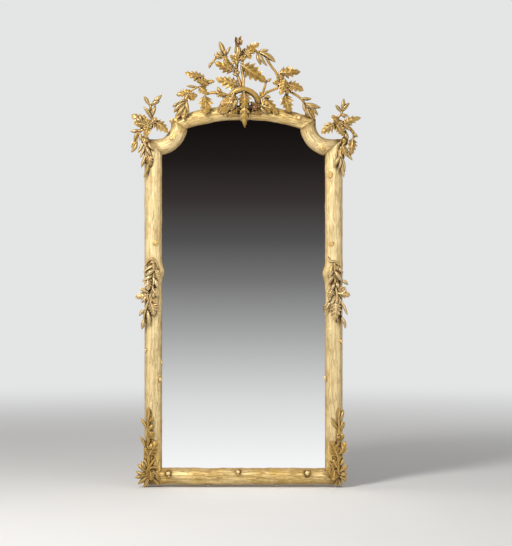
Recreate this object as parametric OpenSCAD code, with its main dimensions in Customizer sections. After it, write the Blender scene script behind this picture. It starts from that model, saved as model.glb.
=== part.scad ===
/* [Mirror plate opening] */
// Width of the visible mirror plate
sight_w = 812; // [700:2:950]
// Height of the visible mirror plate at its middle
sight_h = 1736; // [1500:4:2000]
// Radius of the arched top edge of the opening
arch_r = 903; // [800:1:1100]
// How far each corner circle's centre stands outside the opening's side
notch_out = 23; // [10:1:40]
// How far each corner circle's centre lies below the crown of the opening
notch_drop = 28.5; // [15:0.5:50]

/* [Gilded trunk] */
// Width of the trunk at the sides
stile_w = 86; // [70:1:100]
// Height of the trunk along the bottom
rail_h = 80; // [66:1:90]
// Width of the trunk over the arch
arch_w = 72; // [60:1:84]
// Width of the trunk round the shoulders
shoulder_w = 77; // [64:1:90]
// Radius of the shoulder along its middle line
shoulder_r = 108.5; // [95:0.5:125]
// Distance of the trunk's ridge from the wall
trunk_front = 80; // [78:1:96]

/* [Carcass] */
// Thickness of the pine carcass
carcass_t = 34; // [32:1:44]
// How far the carcass stands back from the trunk's outer edge
carcass_inset = 4; // [2:0.5:8]
// How far the carcass stands back from the opening's edge
carcass_lip = 10; // [9:0.5:14]
// Width of the rebate that the backboards lie in
rebate_w = 12; // [10:0.5:16]
// Radius of the pegs in the lapped bottom corners
peg_r = 4; // [3:0.5:6]
// Length of a loose tongue along its joint
tongue_w = 34; // [24:1:40]
// Thickness of a loose tongue
tongue_t = 8; // [6:0.5:10]
// Width of a loose tongue across its joint
tongue_span = 30; // [20:1:44]

/* [Mirror plate and backboards] */
// Thickness of the mirror plate
glass_t = 5; // [4:0.5:6]
// How far the mirror plate reaches past the opening's edge
glass_lap = 8; // [5:0.5:8.5]
// Thickness of the backboards
board_t = 12; // [9:0.5:13]
// Depth of the tongue on a backboard
board_tongue = 7; // [5:0.5:9]
// Thickness of the tongue on a backboard
board_tongue_t = 4; // [3:0.25:5]
// Gap left between backboards for shrinkage
board_gap = 0.6; // [0.4:0.1:0.9]
// Length of a glue block along the edge
block_len = 46; // [30:1:70]
// How far a glue block reaches over the opening
block_reach = 6; // [3:0.5:12]

/* [Screws] */
// Shank radius of the screws that hold the trunk
facing_screw_r = 2.1; // [1.8:0.1:2.6]
// Length of the screws that hold the trunk
facing_screw_len = 52; // [46:1:58]
// Spacing of those screws along the sides
facing_screw_pitch = 360; // [300:5:380]
// Shank radius of the backboard screws
board_screw_r = 1.75; // [1.5:0.05:2]
// Length of the backboard screws
board_screw_len = 26; // [20:1:30]

/* [Hangers] */
// Height of the hangers' axis above the middle of the opening
hanger_y = 560; // [450:5:600]
// Length of the brass strap below the axis
strap_len = 72; // [60:1:90]
// Width of the brass strap
strap_w = 22; // [18:0.5:26]
// Thickness of the brass strap
strap_t = 2.5; // [2:0.1:3]
// Depth of the recess that the hanger is let into
recess_d = 12; // [11.5:0.1:13]
// Radius of the ring's rod
ring_rod_r = 2.5; // [2:0.1:2.8]
// Running clearance of the ring's rod in the barrel
ring_clear = 0.05; // [0.02:0.01:0.1]
// Wall of the barrel
barrel_wall = 2; // [1.5:0.1:2.2]
// Width inside the ring
ring_in_w = 34; // [30:0.5:36]
// Length of the ring's straight legs
ring_leg = 8; // [5:0.5:12]

/* [Carving] */
// Size of the carved leaves and buds, 1 as made
carve = 1; // [0.9:0.02:1.1]
// Rise of a leaf's rib above its edge, for each millimetre of its width
leaf_rise = 0.17; // [0.1:0.01:0.25]
// Bulge of a leaf towards the front, for each millimetre of its length
leaf_bulge = 0.10; // [0:0.01:0.2]
// Glue line between a carving and the trunk
glue_gap = 0.5; // [0.4:0.05:0.7]
// Gap in the joints between the crest's blocks
joint_gap = 0.3; // [0.2:0.05:0.6]

/* [Hidden] */
$fn = 96;
// Steps in a full turn of the wide arcs over the opening
wide_fn = 480;

GILT = [0.86, 0.70, 0.38];
PINE = [0.62, 0.47, 0.30];
BRASS = [0.74, 0.60, 0.30];
STEEL = [0.50, 0.49, 0.47];
SILVER = [0.80, 0.83, 0.86];

half_w = sight_w / 2;
half_h = sight_h / 2;
outer_x = half_w + stile_w;
outer_y = half_h + rail_h;
far = 2 * outer_y;
// How far a cut runs past the face that it opens
over = 1;
stile_x = half_w + stile_w / 2;
rail_y = -half_h - rail_h / 2;

// The arch's centre and the centre of the right shoulder's circle
arch_cy = half_h - arch_r;
ring_c = [half_w + notch_out, half_h - notch_drop];
ring_in = shoulder_r + shoulder_w / 2;
ring_out = shoulder_r - shoulder_w / 2;

// Where the shoulder's inner circle meets the arch: the cusp of the opening
cusp_d = norm([ring_c[0], ring_c[1] - arch_cy]);
cusp_dir = [ring_c[0], ring_c[1] - arch_cy] / cusp_d;
cusp_a = (arch_r * arch_r - ring_in * ring_in + cusp_d * cusp_d) / (2 * cusp_d);
cusp_h = sqrt(arch_r * arch_r - cusp_a * cusp_a);
cusp = [cusp_a * cusp_dir[0] - cusp_h * cusp_dir[1], arch_cy + cusp_a * cusp_dir[1] + cusp_h * cusp_dir[0]];

// Ends of the mitres on the right side: foot, top of the side, and end of the arch
foot_in = [half_w, -half_h];
foot_out = [outer_x, -outer_y];
side_in = [half_w, ring_c[1] - sqrt(ring_in * ring_in - notch_out * notch_out)];
side_out = [outer_x, ring_c[1] - ring_out];
arch_out_x = ring_c[0] - ring_out;
arch_out = [arch_out_x, arch_cy + sqrt(pow(arch_r + arch_w, 2) - arch_out_x * arch_out_x)];

// Upper joints of the carcass, with the tongues' middle
side_joint_y = ring_c[1] - ring_in;
arch_joint_x = ring_c[0] - ring_in - carcass_lip;
tongue_z = (carcass_t + board_t) / 2;
tongue_clear = 0.1;
side_tongue_x = half_w + (carcass_lip + rebate_w + stile_w - carcass_inset) / 2;
arch_mid_r = arch_r + (carcass_lip + rebate_w + arch_w - carcass_inset) / 2;
arch_tongue_y = arch_cy + sqrt(arch_mid_r * arch_mid_r - arch_joint_x * arch_joint_x);

function point_along(a, b, t) = a + (b - a) * t;
function flip(p, side) = [side * p[0], p[1]];

// A point [x, y] and a height z are across, up, and out from the wall. This stands them upright.
module stand() { rotate([90, 0, 0]) children(); }

module both_sides() {
  children();
  mirror([1, 0, 0]) children();
}

module on_side(side) {
  if (side > 0) children();
  else mirror([1, 0, 0]) children();
}

// Outlines in the plane of the wall

// All that lies over an arch of radius r
module over_arch(r) {
  difference() {
    translate([-far, arch_cy]) square([2 * far, far]);
    translate([0, arch_cy]) circle(r = r, $fn = wide_fn);
  }
}

module sight_outline(grow) {
  difference() {
    square([sight_w + 2 * grow, sight_h + 2 * grow], center = true);
    over_arch(arch_r + grow);
    both_sides() translate(ring_c) circle(r = ring_in - grow);
  }
}

module notch_outline(grow) {
  r = ring_out + grow;
  translate(ring_c) {
    circle(r = r);
    translate([0, -r]) square([far, far]);
    translate([-r, 0]) square([far, far]);
  }
}

module frame_outline(inset) {
  difference() {
    translate([-outer_x + inset, -outer_y + inset]) square([2 * (outer_x - inset), far]);
    over_arch(arch_r + arch_w - inset);
    both_sides() notch_outline(inset);
  }
}

// Screws, drawn from the back of the frame forwards

screw_sink = 0.4;
screw_fit = 0.05;
slot_w = 1.2;
slot_d = 1;
head_ratio = 2;

module screw(r, len) {
  head_r = r * head_ratio;
  difference() {
    union() {
      translate([0, 0, screw_sink]) cylinder(h = head_r - r, r1 = head_r, r2 = r);
      translate([0, 0, screw_sink]) cylinder(h = len, r = r);
    }
    translate([-head_r, -slot_w / 2, screw_sink - slot_d]) cube([2 * head_r, slot_w, 2 * slot_d]);
  }
}

module screw_hole(r, len) {
  head_r = r * head_ratio + 2 * screw_fit;
  hole_r = r + screw_fit;
  translate([0, 0, -over]) cylinder(h = len + screw_sink + 2 * over, r = hole_r);
  translate([0, 0, screw_sink]) cylinder(h = head_r - hole_r, r1 = head_r, r2 = hole_r);
  translate([0, 0, -over]) cylinder(h = screw_sink + over, r = head_r);
}

rail_screw_x = 300;
arch_screw_x = 210;
shoulder_screw_a = 225;
facing_screw_count = 4;
facing_low_y = -2 * facing_screw_pitch;
arch_facing_r = arch_r + arch_w / 2 + (carcass_lip - carcass_inset) / 2;
rail_facing_y = rail_y - (carcass_lip - carcass_inset) / 2;
ring_facing_r = shoulder_r - (carcass_lip - carcass_inset) / 2;

facing_points = concat(
  [for (side = [-1, 1], i = [0:facing_screw_count - 1])
    [side * stile_x, facing_low_y + i * facing_screw_pitch]],
  [for (i = [-1:1]) [i * rail_screw_x, rail_facing_y]],
  [for (i = [-1:1])
    [i * arch_screw_x, arch_cy + sqrt(pow(arch_facing_r, 2) - pow(i * arch_screw_x, 2))]],
  [for (side = [-1, 1])
    flip(ring_c + ring_facing_r * [cos(shoulder_screw_a), sin(shoulder_screw_a)], side)]
);

// Backboards

board_clear = 0.5;
board_count = 9;
board_span = sight_h + 2 * (carcass_lip + rebate_w - board_clear);
board_h = board_span / board_count;
board_ledge = carcass_lip + rebate_w / 2;
board_screw_dy = board_h / 4;
top_board_screw_x = 180;
groove_clear = 0.2;
function board_low(i) = -board_span / 2 + (i - 1) * board_h;

board_points = concat(
  [for (side = [-1, 1], i = [1:board_count - 1], k = [-1, 1])
    [side * (half_w + board_ledge), board_low(i) + board_h / 2 + k * board_screw_dy]],
  [for (i = [-1:1])
    [i * top_board_screw_x,
     arch_cy + sqrt(pow(arch_r + board_ledge, 2) - pow(i * top_board_screw_x, 2))]],
  [for (side = [-1, 1])
    flip(ring_c + (ring_in - board_ledge) * [cos(shoulder_screw_a), sin(shoulder_screw_a)], side)]
);

module backboard(i) {
  low = board_low(i) + (i == 1 ? 0 : board_gap / 2);
  high = board_low(i + 1) - (i == board_count ? 0 : board_gap / 2);
  tongue_top = i == board_count ? high : high + board_tongue;
  tongue_low = (board_t - board_tongue_t) / 2;
  color(PINE) stand() difference() {
    union() {
      linear_extrude(board_t) intersection() {
        sight_outline(carcass_lip + rebate_w - board_clear);
        translate([-far / 2, low]) square([far, high - low]);
      }
      translate([0, 0, tongue_low]) linear_extrude(board_tongue_t) intersection() {
        sight_outline(carcass_lip + rebate_w - board_clear);
        translate([-far / 2, high - over]) square([far, tongue_top - high + over]);
      }
    }
    if (i > 1) {
      translate([-far / 2, low - over, tongue_low - groove_clear])
        cube([far, board_tongue + 2 * over, board_tongue_t + 2 * groove_clear]);
    }
    for (p = board_points) {
      if (p[1] > low && p[1] < high) translate(p) screw_hole(board_screw_r, board_screw_len);
    }
  }
}

// Hangers

hanger_x = half_w + (carcass_lip + rebate_w + stile_w - carcass_inset) / 2;
barrel_r = ring_rod_r + ring_clear + barrel_wall;
strap_back = recess_d - strap_t;
barrel_gap = 0.75;
axis_z = recess_d - barrel_r - barrel_gap;
ring_mid_r = ring_in_w / 2 + ring_rod_r;
recess_side = 2;
recess_end = 4;
recess_w = ring_in_w + 4 * ring_rod_r + 2 * recess_side;
recess_up = ring_leg + ring_mid_r + ring_rod_r + recess_end;
recess_down = strap_len + recess_end;
strap_screw_r = 1.7;
strap_screw_len = 16;
strap_screw_ys = [24, 43, 62];
strap_radius = 4;

module hanger_place() { translate([hanger_x, hanger_y, 0]) children(); }

module strap_screw_place() {
  for (y = strap_screw_ys) translate([0, -y, strap_back - screw_sink]) children();
}

module hanger_recess() {
  hanger_place() {
    translate([-recess_w / 2, -recess_down, -over])
      cube([recess_w, recess_down + recess_up, recess_d + over]);
    strap_screw_place() screw_hole(strap_screw_r, strap_screw_len);
  }
}

module hanger_strap(side) {
  color(BRASS) stand() on_side(side) hanger_place() difference() {
    union() {
      translate([0, 0, strap_back]) linear_extrude(strap_t) {
        translate([-strap_w / 2, -strap_len + strap_radius]) square([strap_w, strap_len - strap_radius]);
        translate([-strap_w / 2 + strap_radius, -strap_len]) square([strap_w - 2 * strap_radius, strap_len]);
        for (s = [-1, 1]) {
          translate([s * (strap_w / 2 - strap_radius), -strap_len + strap_radius]) circle(r = strap_radius);
        }
      }
      translate([-strap_w / 2, 0, axis_z]) rotate([0, 90, 0]) cylinder(h = strap_w, r = barrel_r);
    }
    translate([-strap_w, 0, axis_z]) rotate([0, 90, 0])
      cylinder(h = 2 * strap_w, r = ring_rod_r + ring_clear);
    strap_screw_place() screw_hole(strap_screw_r, strap_screw_len);
  }
}

module hanger_ring(side) {
  color(BRASS) stand() on_side(side) hanger_place() translate([0, 0, axis_z]) {
    translate([-ring_mid_r, 0, 0]) rotate([0, 90, 0]) cylinder(h = 2 * ring_mid_r, r = ring_rod_r);
    for (s = [-1, 1]) {
      translate([s * ring_mid_r, 0, 0]) {
        sphere(r = ring_rod_r);
        rotate([90, 0, 0]) cylinder(h = ring_leg, r = ring_rod_r);
      }
    }
    translate([0, -ring_leg, 0]) rotate([0, 0, 180])
      rotate_extrude(angle = 180) translate([ring_mid_r, 0]) circle(r = ring_rod_r);
  }
}

module hanger_screws() {
  color(BRASS) stand() both_sides() hanger_place()
    strap_screw_place() screw(strap_screw_r, strap_screw_len);
}

// Carcass

lap_z = carcass_t / 2;
lap_x = half_w + carcass_lip;
lap_y = half_h + carcass_lip;
peg_inset = 20;
peg_fit = 0.05;
peg_points = [
  [lap_x + peg_inset + rebate_w, -lap_y - peg_inset],
  [outer_x - carcass_inset - peg_inset, -outer_y + carcass_inset + peg_inset]
];

module carcass_whole() {
  difference() {
    linear_extrude(carcass_t) difference() {
      frame_outline(carcass_inset);
      sight_outline(carcass_lip);
    }
    translate([0, 0, -over]) linear_extrude(board_t + over) sight_outline(carcass_lip + rebate_w);
    for (p = facing_points) translate(p) screw_hole(facing_screw_r, facing_screw_len);
    for (p = board_points) translate(p) screw_hole(board_screw_r, board_screw_len);
    both_sides() {
      hanger_recess();
      for (p = peg_points) {
        translate([p[0], p[1], -over]) cylinder(h = carcass_t + 2 * over, r = peg_r + peg_fit);
      }
      tongue_slots();
    }
  }
}

module tongue_box(clear) {
  cube([tongue_w + 2 * clear, tongue_span + 2 * clear, tongue_t + 2 * clear], center = true);
}

module tongue_places() {
  translate([side_tongue_x, side_joint_y, tongue_z]) children();
  translate([arch_joint_x, arch_tongue_y, tongue_z]) rotate([0, 0, 90]) children();
}

module tongue_slots() { tongue_places() tongue_box(tongue_clear); }

module rail_lap() {
  translate([lap_x, -far, -over]) cube([far, far - lap_y, lap_z + over]);
}

module carcass_side(side) {
  color(PINE) stand() on_side(side) difference() {
    intersection() {
      carcass_whole();
      translate([lap_x, -far, -over]) cube([far, far + side_joint_y, carcass_t + 2 * over]);
    }
    rail_lap();
  }
}

module carcass_bottom_rail() {
  color(PINE) stand() difference() {
    intersection() {
      carcass_whole();
      translate([-far, -far, -over]) cube([2 * far, far - lap_y, carcass_t + 2 * over]);
    }
    both_sides() translate([lap_x, -far, lap_z]) cube([far, far, carcass_t]);
  }
}

module carcass_shoulder(side) {
  color(PINE) stand() on_side(side) intersection() {
    carcass_whole();
    translate([arch_joint_x, side_joint_y, -over]) cube([far, far, carcass_t + 2 * over]);
  }
}

module carcass_top_rail() {
  color(PINE) stand() intersection() {
    carcass_whole();
    translate([-arch_joint_x, side_joint_y, -over]) cube([2 * arch_joint_x, far, carcass_t + 2 * over]);
  }
}

module corner_pegs() {
  color(PINE) stand() both_sides() {
    for (p = peg_points) translate(p) cylinder(h = carcass_t, r = peg_r);
  }
}

module loose_tongues() {
  color(PINE) stand() both_sides() tongue_places() tongue_box(0);
}

// Gilded trunk: a half-round section whose ridge lies at trunk_front

module trunk_section(width, grow, back, fn = 96) {
  // A coarse section stands outside the true round, so that what is fitted over it stays clear
  r = (width / 2 + grow) / (fn < 96 ? cos(180 / fn) : 1);
  centre = trunk_front - width / 2;
  translate([-r, back]) square([2 * r, centre - back]);
  intersection() {
    translate([0, centre]) circle(r = r, $fn = fn);
    translate([-r, centre - 1]) square([2 * r, r + 2]);
  }
}

module trunk_upright(x, width, low, high, grow, back, fn) {
  translate([x, high, 0]) rotate([90, 0, 0])
    linear_extrude(high - low) trunk_section(width, grow, back, fn);
}

module trunk_level(y, width, left, right, grow, back, fn) {
  translate([left, y, 0]) rotate([90, 0, 90])
    linear_extrude(right - left) trunk_section(width, grow, back, fn);
}

module trunk_bend(centre, radius, width, from, sweep, grow, back, fn, bend_fn) {
  translate([centre[0], centre[1], 0]) rotate([0, 0, from]) rotate_extrude(angle = sweep, $fn = bend_fn)
    translate([radius, 0]) trunk_section(width, grow, back, fn);
}

arch_sweep = 2 * asin((arch_out_x + stile_w) / (arch_r + arch_w));

module side_shape(grow, back, fn = 96) {
  trunk_upright(stile_x, stile_w, -outer_y - 1, ring_c[1] - ring_out, grow, back, fn);
}

module rail_shape(grow, back, fn = 96) {
  trunk_level(rail_y, rail_h, -outer_x - 1, outer_x + 1, grow, back, fn);
}

module arch_shape(grow, back, fn = 96, bend_fn = wide_fn) {
  from = 90 - arch_sweep / 2;
  trunk_bend([0, arch_cy], arch_r + arch_w / 2, arch_w, from, arch_sweep, grow, back, fn, bend_fn);
}

module shoulder_shape(grow, back, fn = 96) {
  trunk_bend(ring_c, shoulder_r, shoulder_w, 180, 90, grow, back, fn, fn);
  trunk_level(ring_c[1] - shoulder_r, shoulder_w, ring_c[0], outer_x, grow, back, fn);
  trunk_upright(ring_c[0] - shoulder_r, shoulder_w, ring_c[1], arch_out[1], grow, back, fn);
}

// Areas on the right side that the mitres divide the trunk into, and how far they reach past its edges
mitre_over = 0.5;
inner_over = 0.2;

module side_area() {
  polygon([
    point_along(foot_in, foot_out, -mitre_over), point_along(foot_in, foot_out, 1 + mitre_over),
    point_along(side_in, side_out, 1 + mitre_over), point_along(side_in, side_out, -mitre_over)
  ]);
}

module rail_area() {
  a = point_along(foot_in, foot_out, -mitre_over);
  b = point_along(foot_in, foot_out, 1 + mitre_over);
  polygon([a, b, flip(b, -1), flip(a, -1)]);
}

module shoulder_area() {
  inner = [ring_c[0] - ring_in - 1, ring_c[1] - ring_in - 1];
  a = point_along(side_in, side_out, 1 + mitre_over);
  b = point_along(cusp, arch_out, 1 + mitre_over);
  side_end = point_along(side_in, side_out, -inner_over);
  arch_end = point_along(cusp, arch_out, -inner_over);
  polygon([inner, side_end, a, [a[0], b[1]], b, arch_end]);
}

module arch_area() {
  a = point_along(cusp, arch_out, -inner_over);
  b = point_along(cusp, arch_out, 1 + mitre_over);
  polygon([a, b, [b[0], far], [-b[0], far], flip(b, -1), flip(a, -1)]);
}

// Knots: each is [x, y, radius], from the middle line of its length of trunk
LEFT_KNOTS = [[-20, 254, 10], [34, -280, 9], [-40, -340, 9], [-33, -424, 8], [-45, 122, 14]];
RIGHT_KNOTS = [[-14, 250, 10], [35, -235, 9], [-40, -430, 9], [-45, 112, 15], [-22, 590, 12]];
RAIL_KNOTS = [[-373, 17, 12], [-26, 24, 10], [316, 18, 12], [-176, -38, 9], [165, -38, 9]];
ARCH_KNOTS = [[272, 10, 14], [-358, 8, 15]];
LEFT_BURR = [[-9, 29, 22], [-20, 8, 14]];
RIGHT_BURR = [[50, -18, 24], [30, -6, 16]];

knot_sink = 0.35;
function trunk_rise(off, width) =
  trunk_front - width / 2 + sqrt(max(0, width * width / 4 - off * off));
function knot_z(off, width, r) = max(trunk_rise(off, width) - knot_sink * r, carcass_t + r + 1);

module side_knots(knots) {
  for (k = knots) translate([stile_x + k[0], k[1], knot_z(k[0], stile_w, k[2])]) sphere(r = k[2]);
}

module rail_knots() {
  for (k = RAIL_KNOTS) translate([k[0], rail_y + k[1], knot_z(k[1], rail_h, k[2])]) sphere(r = k[2]);
}

module arch_knots() {
  mid = arch_r + arch_w / 2;
  for (k = ARCH_KNOTS) {
    translate([k[0], arch_cy + sqrt(mid * mid - k[0] * k[0]) + k[1], knot_z(k[1], arch_w, k[2])])
      sphere(r = k[2]);
  }
}

module shoulder_burr(knots) {
  mid = ring_c + shoulder_r * [cos(shoulder_screw_a), sin(shoulder_screw_a)];
  for (k = knots) {
    p = mid + [k[0], k[1]];
    translate([p[0], p[1], knot_z(norm(p - ring_c) - shoulder_r, shoulder_w, k[2])]) sphere(r = k[2]);
  }
}

module facing_holes() {
  for (p = facing_points) translate(p) screw_hole(facing_screw_r, facing_screw_len);
}

module trunk_side(side, knots) {
  color(GILT) stand() on_side(side) difference() {
    intersection() {
      union() {
        side_shape(0, carcass_t);
        side_knots(knots);
      }
      linear_extrude(2 * trunk_front) side_area();
    }
    facing_holes();
  }
}

module trunk_bottom() {
  color(GILT) stand() difference() {
    intersection() {
      union() {
        rail_shape(0, carcass_t);
        rail_knots();
      }
      linear_extrude(2 * trunk_front) rail_area();
    }
    facing_holes();
  }
}

module trunk_shoulder(side, knots) {
  color(GILT) stand() on_side(side) difference() {
    intersection() {
      union() {
        shoulder_shape(0, carcass_t);
        shoulder_burr(knots);
      }
      linear_extrude(2 * trunk_front) shoulder_area();
    }
    facing_holes();
  }
}

module trunk_arch() {
  color(GILT) stand() difference() {
    intersection() {
      union() {
        arch_shape(0, carcass_t);
        arch_knots();
      }
      linear_extrude(2 * trunk_front) arch_area();
    }
    facing_holes();
  }
}

module facing_screws() {
  color(STEEL) stand() {
    for (p = facing_points) translate(p) screw(facing_screw_r, facing_screw_len);
  }
}

module backboard_screws() {
  color(STEEL) stand() {
    for (p = board_points) translate(p) screw(board_screw_r, board_screw_len);
  }
}

// Mirror plate, held against the trunk by glue blocks

glue_line = 0.2;
side_block_ys = [-700, -250, 200, 620];
foot_block_xs = [-250, 0, 250];
arch_block_xs = [-130, 130];

module mirror_plate() {
  color(SILVER) stand() translate([0, 0, carcass_t - glass_t])
    linear_extrude(glass_t) sight_outline(glass_lap);
}

module glue_blocks() {
  low = board_t + board_clear;
  color(PINE) stand() translate([0, 0, low]) linear_extrude(carcass_t - glass_t - low) intersection() {
    difference() {
      sight_outline(carcass_lip - glue_line);
      sight_outline(-block_reach);
    }
    union() {
      for (s = [-1, 1], y = side_block_ys) translate([s * half_w, y]) square(block_len, center = true);
      for (x = foot_block_xs) translate([x, -half_h]) square(block_len, center = true);
      for (x = arch_block_xs) {
        translate([x, arch_cy + sqrt(arch_r * arch_r - x * x)]) square(block_len, center = true);
      }
    }
  }
}

// Carving: leaves, buds and stems, each placed by points [across, up, out from the wall]

// Stations along a leaf, as [rib, edge, half width]: lobes that lean towards the tip, and notches
LEAF_STATIONS = [
  [0, 0, 0.10], [0.12, 0.20, 0.56], [0.24, 0.27, 0.38], [0.38, 0.54, 1], [0.54, 0.58, 0.52],
  [0.66, 0.82, 0.62], [1, 1, 0.04]
];
rib_base = 0.35;
rib_back = 0.3;
bud_sides = 6;
// Radius at a bud's ends, and where it is widest, as shares of its radius and length
bud_base = 0.45;
bud_tip = 0.12;
bud_belly = 0.42;
stem_sides = 6;
pad_sides = 10;

function unit(v) = v / norm(v);

// A leaf's point at u along it and s across, bulged towards the front
function leaf_point(a, b, u, s, across, rise, bulge) =
  point_along(a, b, u) + across * s + [0, 0, rise + bulge * 4 * u * (1 - u)];

// A toothed leaf: base, tip, width, and how far it rolls about its rib
module leaf(row) {
  a = [row[0], row[1], row[2]] * carve;
  b = [row[3], row[4], row[5]] * carve;
  half = row[6] * carve / 2;
  bulge = leaf_bulge * norm(b - a);
  side = unit([a[1] - b[1], b[0] - a[0], 0]) * cos(row[7]) + [0, 0, sin(row[7])];
  rise = leaf_rise * 2 * half;
  points = [for (k = LEAF_STATIONS) each [
    leaf_point(a, b, k[1], side, -k[2] * half, 0, bulge),
    leaf_point(a, b, k[0], side, 0, rise * (rib_base + (1 - rib_base) * sin(180 * k[0])), bulge),
    leaf_point(a, b, k[1], side, k[2] * half, 0, bulge),
    leaf_point(a, b, k[0], side, 0, -rise * rib_back, bulge)
  ]];
  polyhedron(points = points, faces = tube_faces(len(LEAF_STATIONS), 4));
}

// Faces of a tube of rings: the walls between rings, then a fan over each end
function tube_faces(rings, sides) = concat(
  [for (i = [0:rings - 2], j = [0:sides - 1])
    let (p = sides * i + j, q = sides * i + (j + 1) % sides)
    each [[p, q, q + sides], [p, q + sides, p + sides]]],
  [for (j = [1:sides - 2]) each [[0, j + 1, j], sides * (rings - 1) * [1, 1, 1] + [0, j, j + 1]]]
);

// One ring of a tube round the point p, square to the direction d
function tube_ring(p, d, r, sides) =
  let (u = unit(cross(d, abs(d[2]) > 0.9 * norm(d) ? [1, 0, 0] : [0, 0, 1])), v = unit(cross(u, d)))
  [for (j = [0:sides - 1]) p + r * (cos(360 * j / sides) * u + sin(360 * j / sides) * v)];

// A bud: base, tip, radius
module bud(row) {
  a = [row[0], row[1], row[2]] * carve;
  b = [row[3], row[4], row[5]] * carve;
  r = row[6] * carve;
  d = b - a;
  hull() polyhedron(
    points = concat(
      tube_ring(a, d, bud_base * r, bud_sides), tube_ring(a + d * bud_belly, d, r, bud_sides),
      tube_ring(b, d, bud_tip * r, bud_sides)
    ),
    faces = tube_faces(3, bud_sides)
  );
}

// A stem: [radius at the start, radius at the end, points]
module stem(row) {
  points = row[2] * carve;
  last = len(points) - 1;
  polyhedron(
    points = [for (i = [0:last])
      each tube_ring(
        points[i],
        unit(points[min(i + 1, last)] - points[max(i - 1, 0)]),
        carve * (row[0] + (row[1] - row[0]) * i / last),
        stem_sides
      )],
    faces = tube_faces(last + 1, stem_sides)
  );
}

// Ground that a spray is carved from: [x, y, out, half width, half height, half depth]
module pad(row) {
  translate([row[0], row[1], row[2]] * carve)
    scale([row[3], row[4], row[5]] * carve) sphere(r = 1, $fn = pad_sides);
}

module carving(leaves, buds, stems, pads) {
  for (row = leaves) leaf(row);
  for (row = buds) bud(row);
  for (row = stems) stem(row);
  for (row = pads) pad(row);
}

// The trunk and carcass, grown by the glue line, that every carving is fitted over
bed_fn = 24;
bed_bend_fn = 120;

module trunk_bed() {
  both_sides() {
    side_shape(glue_gap, 0, bed_fn);
    shoulder_shape(glue_gap, 0, 2 * bed_fn);
  }
  rail_shape(glue_gap, 0, bed_fn);
  arch_shape(glue_gap, 0, bed_fn, bed_bend_fn);
}

crest_at = [0, half_h];
corner_at = ring_c;
side_at = [stile_x, 0];
foot_at = [half_w, -half_h];

module place(at, side) { translate([side * at[0], at[1], 0]) children(); }

// Crest, from the crown of the opening. A leaf is [base, tip, width, roll], a bud [base, tip, radius]
CREST_LEAVES = [
  // left block
  [-196, 222, 82, -285, 240, 92, 58, 12], [-186, 178, 80, -234, 192, 92, 46, -18],
  [-184, 184, 80, -137, 198, 84, 30, 10], [-262, 134, 84, -332, 126, 90, 50, 8],
  [-284, 124, 84, -228, 128, 84, 52, -10], [-276, 128, 82, -302, 100, 86, 40, 0],
  [-222, 162, 82, -166, 128, 92, 44, -12], [-193, 122, 78, -188, 36, 98, 66, 8],
  // top block
  [-20, 188, 84, -134, 216, 88, 84, 14], [-54, 236, 82, -147, 290, 84, 62, -8],
  [-14, 268, 84, 114, 190, 92, 88, 16], [10, 312, 80, 78, 378, 84, 60, -14],
  [-32, 296, 80, 8, 358, 68, 36, 10], [-32, 300, 84, -70, 318, 92, 22, 0],
  [-34, 310, 84, 10, 312, 92, 24, 0],
  // right block
  [174, 238, 80, 283, 244, 92, 62, 14], [192, 176, 84, 143, 180, 92, 42, -8],
  [198, 174, 82, 178, 224, 86, 42, 8], [198, 176, 86, 170, 126, 94, 46, 6],
  [202, 176, 86, 224, 124, 94, 42, -6], [210, 172, 82, 298, 150, 92, 64, -14],
  [212, 134, 84, 231, 38, 100, 72, 8],
  // loop block
  [-6, 24, 76, -126, 78, 88, 52, 14], [-14, 16, 78, -134, 42, 86, 42, -10],
  [-30, 30, 84, -108, 98, 92, 44, 10], [-22, 42, 86, -62, 100, 96, 40, 0],
  [4, 138, 96, 3, 46, 116, 66, 6], [6, 84, 104, 4, -36, 100, 44, -6],
  [96, 52, 76, 36, 84, 90, 36, 10], [98, 32, 76, 40, 34, 88, 36, -8],
  [94, 104, 82, 178, 30, 88, 58, -16], [88, 96, 80, 120, 62, 98, 40, 12]
];
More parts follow.
